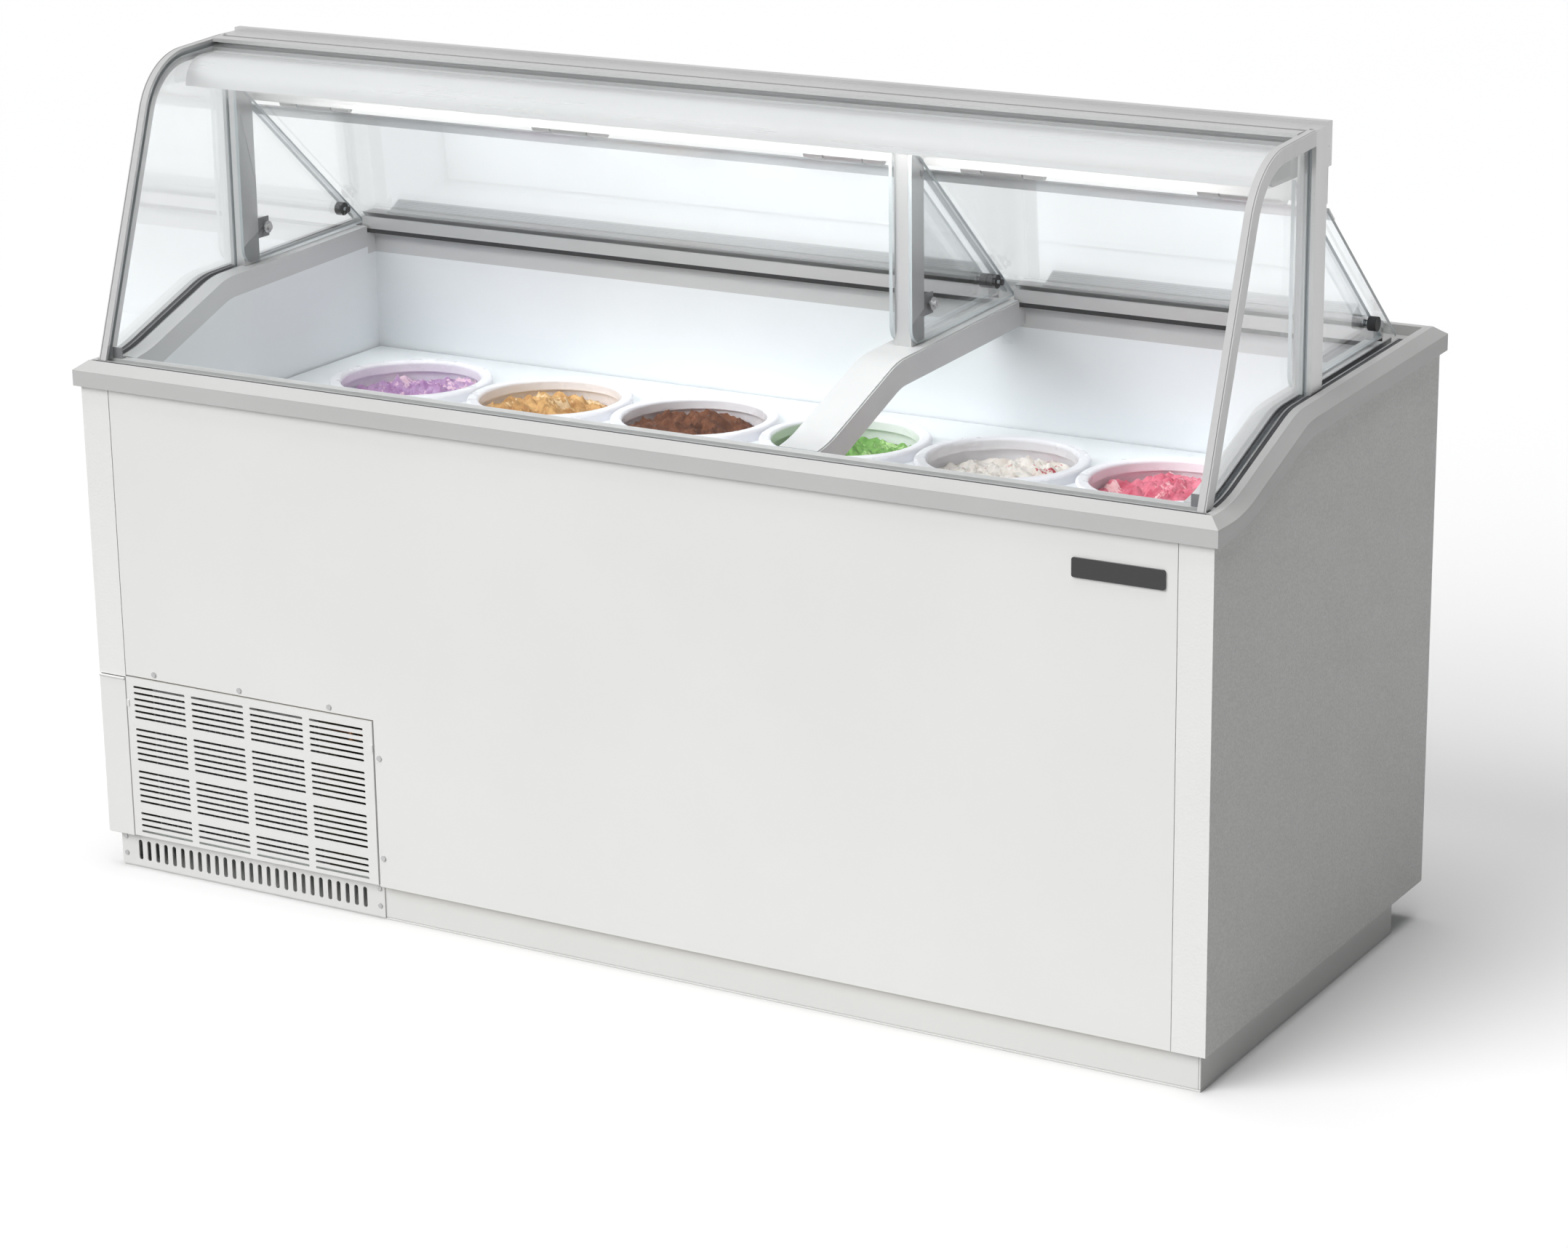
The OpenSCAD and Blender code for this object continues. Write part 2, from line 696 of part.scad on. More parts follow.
module front_trim() color(satin) {
    y0 = trim_face_y;
    z0 = rail_z;
    zt = front_top_z;
    s = 17;
    g = zt - groove_d;
    intersection() {
        along_x(-half_w - trim_out, half_w + trim_out) polygon([[y0, z0], [front_y, z0],
            [front_y, z0 + trim_cap_v], [front_rail_inner_y, z0 + trim_cap_v], [front_rail_inner_y, zt],
            [y0 + s + 22, zt], [y0 + s + 22, g], [y0 + s + 8, g], [y0 + s + 8, zt], [y0 + s + 6, zt],
            [y0 + s + 6, g], [y0 + s, g], [y0 + s, zt], [y0 + shoulder_w, zt - 1],
            [y0, z0 + trim_face_h]]);
        linear_extrude(2 * top_z) polygon([[-half_w - trim_out, y0], [half_w + trim_out, y0],
            [trim_inner_x, y0 + trim_out + side_trim_w], [trim_inner_x, front_rail_inner_y],
            [-trim_inner_x, front_rail_inner_y], [-trim_inner_x, y0 + trim_out + side_trim_w]]);
    }
}

module side_trims() color(satin) both_ends() {
    x1 = half_w + trim_out;
    m = trim_out + side_trim_w;
    intersection() {
        rail_sweep(trim_face_y, half_d + trim_out) polygon([[half_w, 0], [x1, 0], [x1, trim_face_h],
            [x1 - shoulder_w, trim_h - 1], [trim_inner_x, trim_h], [trim_inner_x, trim_cap_v],
            [half_w, trim_cap_v]]);
        linear_extrude(2 * top_z) polygon([[x1 + 0.01, trim_face_y], [x1 + 0.01, -trim_face_y],
            [x1 - m, -trim_face_y - m], [x1 - m, trim_face_y + m]]);
    }
}

module rear_trim() color(satin) {
    x1 = half_w + trim_out;
    y1 = half_d + trim_out;
    z0 = rear_rail_z;
    m = trim_out + side_trim_w;
    intersection() {
        along_x(-x1, x1) polygon([[y1, z0], [y1, z0 + trim_face_h], [y1 - shoulder_w, z0 + trim_h - 1],
            [lip_y, z0 + trim_h - 1], [lip_y, ledge_z], [liner_rear_y + band_t, ledge_z],
            [liner_rear_y + band_t, z0 + trim_cap_v], [half_d, z0 + trim_cap_v], [half_d, z0]]);
        linear_extrude(2 * top_z) polygon([[-x1, y1], [x1, y1], [trim_inner_x, y1 - m],
            [trim_inner_x, liner_rear_y + band_t], [-trim_inner_x, liner_rear_y + band_t],
            [-trim_inner_x, y1 - m]]);
    }
}

module liner_collar() color("lightgray") {
    v0 = trim_h - band_h;
    ya = front_rail_inner_y + band_t;
    both_ends() {
        rail_bar(liner_x, liner_x + band_t, v0, trim_h, ya, rest_y);
        rail_bar(liner_x, channel_x, trim_h - 3, trim_h, ya, rest_y);
        rail_bar(channel_x - 3, channel_x, trim_cap_v, trim_h, ya, rest_y);
        box([liner_x, rest_y, ledge_z - band_h], [channel_x, liner_rear_y + band_t, ledge_z]);
    }
    box([-channel_x, front_rail_inner_y, rail_z + v0], [channel_x, ya, front_top_z]);
    box([-channel_x, liner_rear_y, ledge_z - band_h], [channel_x, liner_rear_y + band_t, ledge_z]);
}

module glass_channels() color("gray") both_ends() {
    g = trim_h - groove_d;
    a = side_glass_x + glass_t + 0.3;
    ya = front_rail_inner_y;
    yb = liner_rear_y + band_t;
    rail_bar(channel_x, trim_inner_x, trim_cap_v, g, ya, yb);
    rail_bar(channel_x, channel_x + lip_t, trim_cap_v, trim_h, ya, yb);
    rail_bar(a, trim_inner_x - 6, trim_cap_v, trim_h, ya, yb);
}

module divider_beam() color("lightgray") {
    w = divider_w / 2;
    v0 = trim_h - divider_h;
    ya = front_rail_inner_y + band_t;
    difference() {
        union() {
            rail_bar(divider_x - w, divider_x - w + 3, v0, trim_h - 2, ya, liner_rear_y);
            rail_bar(divider_x + w - 3, divider_x + w, v0, trim_h - 2, ya, liner_rear_y);
            rail_bar(divider_x - w, divider_x + w, trim_h - 6, trim_h - 2, ya, liner_rear_y);
            rail_bar(divider_x - w + 2, divider_x + w - 2, trim_h - 6, trim_h, ya, liner_rear_y);
        }
        box([divider_x - w - 1, rest_y, ledge_z], [divider_x + w + 1, half_d, top_z]);
    }
}

// Black seals on the side glass and in the trim's inner groove
module glass_seals() color(rubber) {
    g = trim_h - groove_d;
    both_ends() {
        rail_bar(trim_inner_x - 5.7, trim_inner_x - 0.3, g, trim_h - 0.5, front_rail_inner_y, liner_rear_y + band_t);
        rail_bar(channel_x + lip_t + 0.3, side_glass_x - 0.3, g, trim_h - 3, front_rail_inner_y + 1,
            post_front_y - 1);
    }
    box([-trim_inner_x + 1, trim_face_y + 17.3, front_top_z - groove_d],
        [trim_inner_x - 1, trim_face_y + 22.7, front_top_z - 0.5]);
}

// ---------- glass house ----------

// A post's side view, from the rail up to the line of the roof
module post_side(z1) {
    polygon([[post_front_y, rear_line_z(post_front_y, trim_h)], [post_rear_y, rear_line_z(post_rear_y, trim_h)],
        [post_rear_y, z1], [post_front_y, z1]]);
}

module corner_posts() color("gainsboro") both_ends() difference() {
    along_x(post_x, post_x + post_w) post_side(top_z - 2);
    box([side_glass_x - 0.3, post_front_y - 1, 0], [side_glass_x + glass_t + 0.3, post_front_y + 6, top_z + 1]);
}

module middle_post() color("gainsboro") {
    along_x(mid_post_x0, mid_post_x1) post_side(rail_under_z);
}

module end_bars() color("gainsboro") both_ends() difference() {
    along_x(bar_x, bar_x + bar_w) arch(0, bar_d, front_top_z, post_front_y);
    along_x(bar_x - 1, bar_x + 6.5) arch(glass_depth - 0.3, glass_depth + glass_t + 0.3, front_top_z - 1, post_front_y + 1);
    along_x(side_glass_x - 0.3, side_glass_x + glass_t + 0.3) arch(bar_d - 5.5, bar_d + 1, front_top_z - 1, post_front_y + 1);
    along_x(bar_x + bar_w - 2.6, bar_x + bar_w - 1.4) arch(-1, 1.2, front_top_z - 1, post_front_y + 1);
}

module top_rail() color("gainsboro") {
    slot_z1 = top_z - tan(roof_slope) * (post_rear_y - rail_front_y) - glass_depth + 1.2;
    slot_z0 = slot_z1 - glass_t - 2;
    difference() {
        union() {
            box([-post_x + 0.3, rail_front_y, rail_under_z], [post_x - 0.3, leg_y, rail_top_z]);
            box([-bar_x + 0.3, rail_front_y, rail_under_z], [bar_x - 0.3, post_front_y - 0.3, rail_top_z]);
            box([-post_x - post_w, leg_y, top_z + 3 - leg_h], [post_x + post_w, leg_y + leg_t, top_z + 3]);
        }
        box([-body_w, rail_front_y - 1, slot_z0], [body_w, rail_front_y + 13, slot_z1]);
        box([-body_w, rail_front_y + 22, rail_top_z - 6], [body_w, rail_front_y + 29, rail_top_z + 1]);
    }
}

module front_glass() color("lightcyan", 0.35) {
    along_x(-bar_x - 6, bar_x + 6)
        arch(glass_depth, glass_depth + glass_t, front_top_z - groove_d + 0.3, rail_front_y + 11);
}

module side_glasses() color("lightcyan", 0.35) both_ends() intersection() {
    along_x(side_glass_x, side_glass_x + glass_t) difference() {
        inside_arch(bar_d - 5, front_top_z - groove_d, post_front_y + 5);
        under_rail(trim_h - groove_d + 0.3, front_y, half_d);
    }
    union() {
        box([0, front_y, front_top_z + 0.3], [half_w, half_d, 2 * top_z]);
        box([0, front_rail_inner_y + 0.3, 0], [half_w, half_d, 2 * top_z]);
    }
}

// ---------- canopy and lamp ----------

module canopy_side(o) {
    c = [canopy_front_y + canopy_h, canopy_z0];
    intersection() {
        translate(c) circle(r = canopy_h - o, $fn = 120);
        translate([canopy_front_y - 1, canopy_z0]) square([canopy_h + 1, canopy_h + 1]);
    }
    translate([c[0], canopy_z0]) square([rail_front_y - c[0] + 16, canopy_h - o]);
}

module canopy() color(satin) {
    along_x(-canopy_half, canopy_half) {
        difference() {
            canopy_side(0);
            canopy_side(canopy_t);
            translate([rail_front_y - 1, canopy_z0 - 1]) square([20, canopy_h - canopy_t]);
        }
        translate([canopy_front_y, canopy_z0]) square([10, 1.5]);
    }
}

module canopy_ends() color("dimgray") both_ends() {
    along_x(canopy_half - 5, canopy_half) difference() {
        canopy_side(canopy_t + 0.3);
        translate([post_front_y - 1, 0]) square([50, 2 * top_z]);
        translate([canopy_front_y - 1, canopy_z0 - 1]) square([13, 5]);
    }
}

module lamp_tube() color("white") {
    rod_x(-lamp_len / 2, lamp_len / 2, canopy_front_y + 47, canopy_z0 + 18, lamp_r);
}

module lamp_holders() color("white") both_ends() {
    y = canopy_front_y + 47;
    box([lamp_len / 2, y - 10, canopy_z0 + 3], [lamp_len / 2 + 16, y + 10, canopy_z1 - canopy_t]);
    box([lamp_len / 2 - 60, y - 10, canopy_z1 - canopy_t - 5], [lamp_len / 2, y + 10, canopy_z1 - canopy_t]);
}

// ---------- wings and lids ----------

// Where the wing bolts go through, as [y, z]
bolt_c = [post_rear_y + 16, rear_line_z(post_rear_y, trim_h) + 49];
bolt_r = 2.5;

// A clear wing's side view, with the holes for its bolt and its bumper
module wing_side() {
    difference() {
        wing_outline();
        translate(bolt_c) circle(r = bolt_r + 0.3, $fn = 32);
        translate(bumper_c) circle(r = bolt_r + 0.3, $fn = 32);
    }
}

module wing_outline() {
    zf = rear_line_z(wing_front_y, trim_h) + wing_gap;
    top = wing_corner + plane((wing_front_y - wing_corner[0]) / cos(wing_slope), 0);
    r = wing_corner_r;
    polygon([[wing_front_y, zf + r], [wing_front_y, top[1]], wing_corner,
        [wing_corner[0], rear_line_z(wing_corner[0], trim_h) + wing_gap],
        [wing_front_y + r, rear_line_z(wing_front_y + r, trim_h) + wing_gap]]);
    intersection() {
        translate([wing_front_y + r, zf + r + 0.8]) circle(r = r, $fn = 48);
        translate([wing_front_y, zf]) square([r, r + 0.8]);
    }
}

module side_wings() color("lightcyan", 0.35) both_ends() {
    along_x(wing_x, wing_x + wing_t) wing_side();
}

module middle_wings() color("lightcyan", 0.35) {
    along_x(mid_post_x0 - wing_t, mid_post_x0) wing_side();
    along_x(mid_post_x1, mid_post_x1 + wing_t) wing_side();
}

// An angle bracket in the corner of a post's rear face and a wing, opening towards +X
module wing_bracket(x) {
    z = bolt_c[1] - 15;
    difference() {
        union() {
            box([x, post_rear_y, z], [x + 2, post_rear_y + 26, z + 30]);
            box([x, post_rear_y, z], [x + 11, post_rear_y + 2, z + 30]);
        }
        rod_x(x - 1, x + 3, bolt_c[0], bolt_c[1], bolt_r + 0.3);
    }
}

module glass_brackets() color("gray") {
    both_ends() {
        wing_bracket(post_x);
        box([bar_x - 16, bar_foot[0] + 17, front_top_z], [bar_x - 0.3, bar_foot[0] + 19, front_top_z + 16]);
        box([bar_x - 16, bar_foot[0] + 17, front_top_z], [bar_x - 0.3, bar_foot[0] + 26, front_top_z + 2]);
    }
    at_middle_wings() wing_bracket(mid_post_x0);
}

// The same piece at both middle wings
module at_middle_wings() {
    children();
    translate([2 * divider_x, 0, 0]) mirror([1, 0, 0]) children();
}

// A bolt through a wing whose outer face is at x, with its washer on the inner side
module wing_bolt(x) {
    rod_x(x - wing_t - 2, x - wing_t, bolt_c[0], bolt_c[1], 9);
    rod_x(x - wing_t - 6, x - wing_t - 2, bolt_c[0], bolt_c[1], 5);
    rod_x(x - wing_t - 2, x + 2, bolt_c[0], bolt_c[1], bolt_r);
    rod_x(x + 2, x + 6, bolt_c[0], bolt_c[1], 4);
}

module wing_bolts() color("silver") {
    both_ends() wing_bolt(post_x);
    at_middle_wings() wing_bolt(mid_post_x0);
}

module lid_bumper(x) {
    rod_x(x, x + 12, bumper_c[0], bumper_c[1], bumper_r);
    rod_x(x - wing_t, x, bumper_c[0], bumper_c[1], bolt_r);
    rod_x(x - wing_t - 3, x - wing_t, bumper_c[0], bumper_c[1], 4.5);
}

module lid_bumpers() color(rubber) {
    both_ends() lid_bumper(post_x);
    at_middle_wings() lid_bumper(mid_post_x0);
}

module lid_hinges() color("silver") {
    z1 = top_z + 3 - leg_h;
    all = concat(hinge_xs[0], hinge_xs[1]);
    box([-post_x - post_w, leg_y, pivot[1] + 3.6], [post_x + post_w, leg_y + 3, z1]);
    for (x = all) {
        for (e = [-62, 32]) {
            rod_x(x + e, x + e + 30, pivot[0], pivot[1], knuckle_r);
            box([x + e, leg_y, pivot[1] + 3.6], [x + e + 30, pivot[0], pivot[1] + knuckle_r]);
        }
        rod_x(x - 62, x + 62, pivot[0], pivot[1], hinge_pin_r);
    }
}

// Pane, nose rail, handle lip, hinge rail and seal of a lid between x0 and x1
module lid_pane(x0, x1) color("lightcyan", 0.35) {
    along_x(x0, x1) sloped(pane_s0, pane_s1, lid_gap, lid_gap + lid_t);
}

module lid_nose(x0, x1) color(satin) {
    difference() {
        along_x(x0, x1) union() {
            translate([nose_y, nose_z]) square([nose_d, nose_h - 6]);
            translate([nose_y, nose_z]) square([nose_d - 6, nose_h - 2]);
            translate([nose_y + nose_d - 6, nose_z + nose_h - 8]) circle(r = 6, $fn = 32);
        }
        along_x(x0 - 1, x1 + 1) sloped(pane_s0, pane_s1 + 0.3, lid_gap, lid_gap + lid_t);
    }
}

module lid_handle(x0, x1) color(satin) {
    p = [nose_y + 18, nose_z + nose_h - 2];
    q = p + [handle_d - 26, 13];
    r = q + [14, -19];
    along_x(x0, x1) polygon([p - [8, 0], p, q - [1, 0], r, r + [3, 0], q + [1.8, 2], q + [0, 3], p + [0, 3],
        p - [8, -2]]);
}

module lid_top(x0, x1, xs) color(satin) {
    t = 2.5;
    n = lid_gap + lid_t;
    s0 = pivot_s + knuckle_r + 0.5;
    along_x(x0, x1) sloped(s0, pane_s0 + 30, n, n + t);
    for (x = xs) difference() {
        union() {
            rod_x(x - 30, x + 30, pivot[0], pivot[1], knuckle_r);
            along_x(x - 30, x + 30) sloped(pivot_s, s0 + 1, n + 0.2, n + t);
        }
        rod_x(x - 31, x + 31, pivot[0], pivot[1], hinge_pin_r + running_clearance);
    }
}

module lid_seal(x0, x1) color(rubber) {
    box([x0, nose_y + 1, ledge_z + 0.3], [x1, nose_y + nose_d - 2, nose_z]);
}

left_pane = [-pane_end, divider_x - pane_mid_gap / 2];
right_pane = [divider_x + pane_mid_gap / 2, pane_end];
left_nose = [-wing_x + 3, mid_post_x0 - wing_t - 3];
right_nose = [mid_post_x1 + wing_t + 3, wing_x - 3];

module left_lid_pane() { lid_pane(left_pane[0], left_pane[1]); }
module left_lid_nose() { lid_nose(left_nose[0], left_nose[1]); }
module left_lid_handle() { lid_handle(left_nose[0] + 40, left_nose[1] - 40); }
module left_lid_top() { lid_top(left_pane[0], left_pane[1], hinge_xs[0]); }
module left_lid_seal() { lid_seal(left_nose[0], left_nose[1]); }
module right_lid_pane() { lid_pane(right_pane[0], right_pane[1]); }
module right_lid_nose() { lid_nose(right_nose[0], right_nose[1]); }
module right_lid_handle() { lid_handle(right_nose[0] + 40, right_nose[1] - 40); }
module right_lid_top() { lid_top(right_pane[0], right_pane[1], hinge_xs[1]); }
module right_lid_seal() { lid_seal(right_nose[0], right_nose[1]); }

// ---------- tubs ----------

// A rack of flat plates at the corners between tubs, joined by straight bars through the
// narrow necks, on posts. i counts the corners along the row and j those across the rows.
module tub_rack() color("white") {
    n = tubs_in_row;
    h = tub_pitch / 2;
    neck = h - tub_r - rack_gap - 0.5;
    t = 2 * h - (tub_r + rack_gap) * sqrt(2) - 0.5 - neck;
    xe = liner_x - rack_gap * 2;
    ye = [liner_front_y + rack_gap * 2, liner_rear_y - rack_gap * 2];
    xs = [for (i = [0 : n]) tub_row_x + (i - 0.5) * tub_pitch];
    ys = [for (j = [0 : 2]) rear_row_y + h - j * tub_pitch];
    w = weld_gap;
    translate([0, 0, rack_z]) linear_extrude(rack_t) {
        for (i = [0 : n], j = [0 : 2]) {
            r = i < n ? t : xe - xs[i];
            l = i > 0 ? t : xe + xs[i];
            u = j > 0 ? t : ye[1] - ys[j];
            d = j < 2 ? t : ys[j] - ye[0];
            translate([xs[i], ys[j]]) polygon(concat(
                i < n && j > 0 ? [[t, neck], [neck, t]] : [[r, u]],
                i > 0 && j > 0 ? [[-neck, t], [-t, neck]] : [[-l, u]],
                i > 0 && j < 2 ? [[-t, -neck], [-neck, -t]] : [[-l, -d]],
                i < n && j < 2 ? [[neck, -t], [t, -neck]] : [[r, -d]]));
        }
        for (i = [0 : n - 1], j = [0 : 2]) {
            y0 = j < 2 ? ys[j] - neck : ye[0];
            y1 = j > 0 ? ys[j] + neck : ye[1];
            translate([xs[i] + t + w, y0]) square([tub_pitch - 2 * (t + w), y1 - y0]);
        }
        for (i = [0 : n], j = [0, 1]) {
            x0 = i > 0 ? xs[i] - neck : -xe;
            x1 = i < n ? xs[i] + neck : xe;
            translate([x0, ys[j + 1] + t + w]) square([x1 - x0, tub_pitch - 2 * (t + w)]);
        }
    }
    for (y = [ye[0], ye[1] - 2]) box([-xe, y, rack_z - 25], [xe, y + 2, rack_z - w]);
    for (i = [1 : n - 1]) translate([xs[i], ys[1], shelf_z + shelf_t])
        cylinder(h = rack_z - shelf_z - shelf_t - w, r = 7, $fn = 32);
    for (x = [-1, 1], y = [ye[0] + 11, ye[1] - 11]) translate([x * (xe - 13), y, shelf_z + shelf_t])
        cylinder(h = rack_z - shelf_z - shelf_t - w, r = 7, $fn = 32);
}

module tub_shelf() color("silver") {
    g = 3;
    box([-liner_x + g, liner_front_y + g, shelf_z], [liner_x - g, liner_rear_y - g, shelf_z + shelf_t]);
    for (x = [hump_x + 40, liner_x - 30], y = [liner_front_y + 30, liner_rear_y - 30])
        translate([x, y, floor_z]) cylinder(h = shelf_z - floor_z, r = 9, $fn = 32);
    for (y = [liner_front_y + 30, liner_rear_y - 30])
        translate([-liner_x + 30, y, hump_z]) cylinder(h = shelf_z - hump_z, r = 9, $fn = 32);
}

module tubs() color("white") {
    r = 5;
    w = rim_w;
    at_tubs() difference() {
        rotate_extrude($fn = 96) {
            translate([rim_r - w, rim_z - rim_h]) square([w, rim_h - r]);
            translate([rim_r - w + r, rim_z - rim_h]) square([w - 2 * r, rim_h]);
            translate([rim_r - w + r, rim_z - r]) circle(r = r, $fn = 32);
            translate([rim_r - r, rim_z - r]) circle(r = r, $fn = 32);
            translate([tub_r - tub_wall, tub_base_z]) square([tub_wall, tub_h - rim_h + 1]);
            translate([0, tub_base_z]) square([tub_r, tub_wall]);
            translate([rim_r - w, rim_z - rim_h]) square([w - 4, 2]);
        }
        rotate([0, 0, 150]) box([rim_r - 7, -9, rim_z - 6], [rim_r + 1, 9, rim_z + 1]);
    }
}

module ice_cream() color("plum") {
    at_tubs() translate([0, 0, tub_base_z + tub_wall])
        cylinder(h = scoop_z - tub_base_z - tub_wall, r = tub_r - tub_wall - 0.3, $fn = 96);
}

// ---------- machine compartment ----------

module compressor() color(rubber) {
    z0 = pan_top_z + foot_h;
    r = 34;
    translate([compressor_x, compressor_y, 0]) {
        rotate_extrude($fn = 96) {
            translate([0, z0 + r]) square([compressor_r, compressor_h - 2 * r]);
            translate([0, z0]) square([compressor_r - r, compressor_h]);
            for (z = [z0 + r, z0 + compressor_h - r]) intersection() {
                translate([compressor_r - r, z]) circle(r = r, $fn = 64);
                translate([0, z - r]) square([compressor_r, 2 * r]);
            }
        }
        translate([-88, -70, z0]) cube([176, 140, 3]);
        for (x = [-76, 76], y = [-58, 58]) translate([x, y, pan_top_z]) cylinder(h = foot_h, r = 11, $fn = 32);
        translate([compressor_r - 16, -24, z0 + 50]) cube([34, 48, 50]);
    }
}

module condenser() color("silver") {
    x0 = fan_x - condenser_w / 2;
    x1 = fan_x + condenser_w / 2;
    z1 = condenser_z + condenser_h;
    for (x = [x0, x1 - 2]) box([x, condenser_y, condenser_z], [x + 2, condenser_y + condenser_d, z1]);
    for (i = [1 : 29]) box([x0 + i * 10, condenser_y + 2, condenser_z + 4],
        [x0 + i * 10 + 0.8, condenser_y + condenser_d - 4, z1 - 4]);
    for (y = [13, 27], i = [0 : 5]) rod_x(x0 - 6, x1 + 6, condenser_y + y, condenser_z + 18 + i * 36, 4);
    for (z = [condenser_z, z1 - 2]) box([x0, condenser_y, z], [x1, condenser_y + condenser_d, z + 2]);
    for (x = [x0, x1 - 20]) box([x, condenser_y + 10, pan_top_z], [x + 20, condenser_y + 30, condenser_z]);
}

module fan_shroud() color("darkgray") {
    w = condenser_w / 2;
    difference() {
        union() {
            box([fan_x - w, shroud_y, condenser_z], [fan_x + w, shroud_y + 2, condenser_z + condenser_h]);
            rod_y(fan_x, shroud_y, shroud_y + shroud_d, fan_z, fan_r + 8);
        }
        rod_y(fan_x, shroud_y - 1, shroud_y + shroud_d + 1, fan_z, fan_r + 6);
    }
}

module fan_motor() color("dimgray") {
    r = fan_r + 16;
    difference() {
        union() {
            rod_y(fan_x, motor_y, motor_y + motor_d, fan_z, 36);
            for (a = [45 : 90 : 315]) translate([fan_x, 0, fan_z]) rotate([0, a, 0]) {
                box([30, motor_y + 8, -5], [r, motor_y + 11, 5]);
                box([r - 6, shroud_y + 2, -5], [r, motor_y + 11, 5]);
            }
            rod_y(fan_x, fan_y + 4, motor_y + 1, fan_z, fan_shaft_r);
        }
    }
}

module fan_blade() color("gray") difference() {
    union() {
        rod_y(fan_x, fan_y, fan_y + hub_d, fan_z, 20);
        intersection() {
            rod_y(fan_x, fan_y - 4, fan_y + hub_d + 3, fan_z, fan_r);
            for (a = [0 : 72 : 288]) translate([fan_x, fan_y + hub_d / 2, fan_z]) rotate([0, a, 0])
                rotate([24, 0, 0]) box([14, -1, -26], [fan_r + 5, 1, 26]);
        }
    }
    rod_y(fan_x, fan_y + 3.9, fan_y + hub_d + 5, fan_z, fan_shaft_r + running_clearance);
}

module refrigerant_lines() color("peru") {
    zt = pan_top_z + foot_h + compressor_h;
    x1 = fan_x + condenser_w / 2 + 6;
    cz = condenser_z + 18;
    pipe([[compressor_x + 30, compressor_y, zt], [compressor_x + 30, compressor_y, zt + 12],
        [x1 + 30, compressor_y, zt + 12], [x1 + 30, condenser_y + 27, zt + 12],
        [x1 + 30, condenser_y + 27, cz + 180], [x1, condenser_y + 27, cz + 180]], 4);
    pipe([[x1, condenser_y + 13, cz], [x1 + 40, condenser_y + 13, cz], [x1 + 40, 200, cz]], 4);
    tube_to([x1 + 40, 0, cz], [x1 + 40, 110, cz], 13);
    pipe([[x1 + 40, 200, cz], [x1 + 40, 260, cz], [room_x1 - 16, 260, cz], [room_x1 - 16, 260, room_z1]], 4);
    pipe([[compressor_x - 30, compressor_y, zt], [compressor_x - 30, compressor_y, room_z1]], 5);
}

module control_box() color("dimgray") {
    w = 72;
    h = 52;
    difference() {
        box([control_x - w, control_face_y - 45, control_z - h], [control_x + w, half_d - panel_t, control_z + h]);
        box([control_x - w + 2, control_face_y - 43, control_z - h + 2],
            [control_x + w - 2, control_face_y - 2, control_z + h - 2]);
        box([control_x - 62, control_face_y, control_z - 42], [control_x + 62, half_d, control_z + 42]);
        box([switch_x - 10.3, control_face_y - 3, control_z - 15.3],
            [switch_x + 10.3, control_face_y + 1, control_z + 15.3]);
    }
    rod_y(knob_x, control_face_y - 1, control_face_y + 12, control_z, 3);
    rod_x(switch_x - 12, switch_x + 12, control_face_y - 8, control_z, 1.5);
    for (x = [-14, 12]) box([switch_x + x, control_face_y - 10, control_z - 4],
        [switch_x + x + 2, control_face_y - 1, control_z + 4]);
}

module thermostat_knob() color(rubber) difference() {
    union() {
        rod_y(knob_x, control_face_y + 1, control_face_y + 18, control_z, knob_r);
        box([knob_x - 2, control_face_y + 10, control_z], [knob_x + 2, control_face_y + 20, control_z + knob_r - 1]);
    }
    rod_y(knob_x, control_face_y, control_face_y + 12.3, control_z, 3 + running_clearance);
}

module lamp_switch() color(rubber) difference() {
    box([switch_x - 10, control_face_y - 12, control_z - 14], [switch_x + 10, control_face_y + 3, control_z + 14]);
    rod_x(switch_x - 11, switch_x + 11, control_face_y - 8, control_z, 1.5 + running_clearance);
}

plinth_frame();
bottom_pan();
front_panel();
left_side_panel();
left_lower_cover();
right_side_panel();
rear_panel();
insulation();
inner_liner();
evaporator_coil();
kick_vent_plate();
panel_fixings();
grille_panel();
blank_badge();
front_trim();
side_trims();
rear_trim();
liner_collar();
glass_channels();
divider_beam();
glass_seals();
corner_posts();
middle_post();
end_bars();
top_rail();
front_glass();
side_glasses();
canopy();
canopy_ends();
lamp_tube();
lamp_holders();
side_wings();
middle_wings();
glass_brackets();
wing_bolts();
lid_bumpers();
lid_hinges();
left_lid_pane();
left_lid_nose();
left_lid_handle();
left_lid_top();
left_lid_seal();
right_lid_pane();
right_lid_nose();
right_lid_handle();
right_lid_top();
right_lid_seal();
tub_rack();
tubs();
ice_cream();
tub_shelf();
compressor();
condenser();
fan_shroud();
fan_motor();
fan_blade();
refrigerant_lines();
control_box();
thermostat_knob();
lamp_switch();
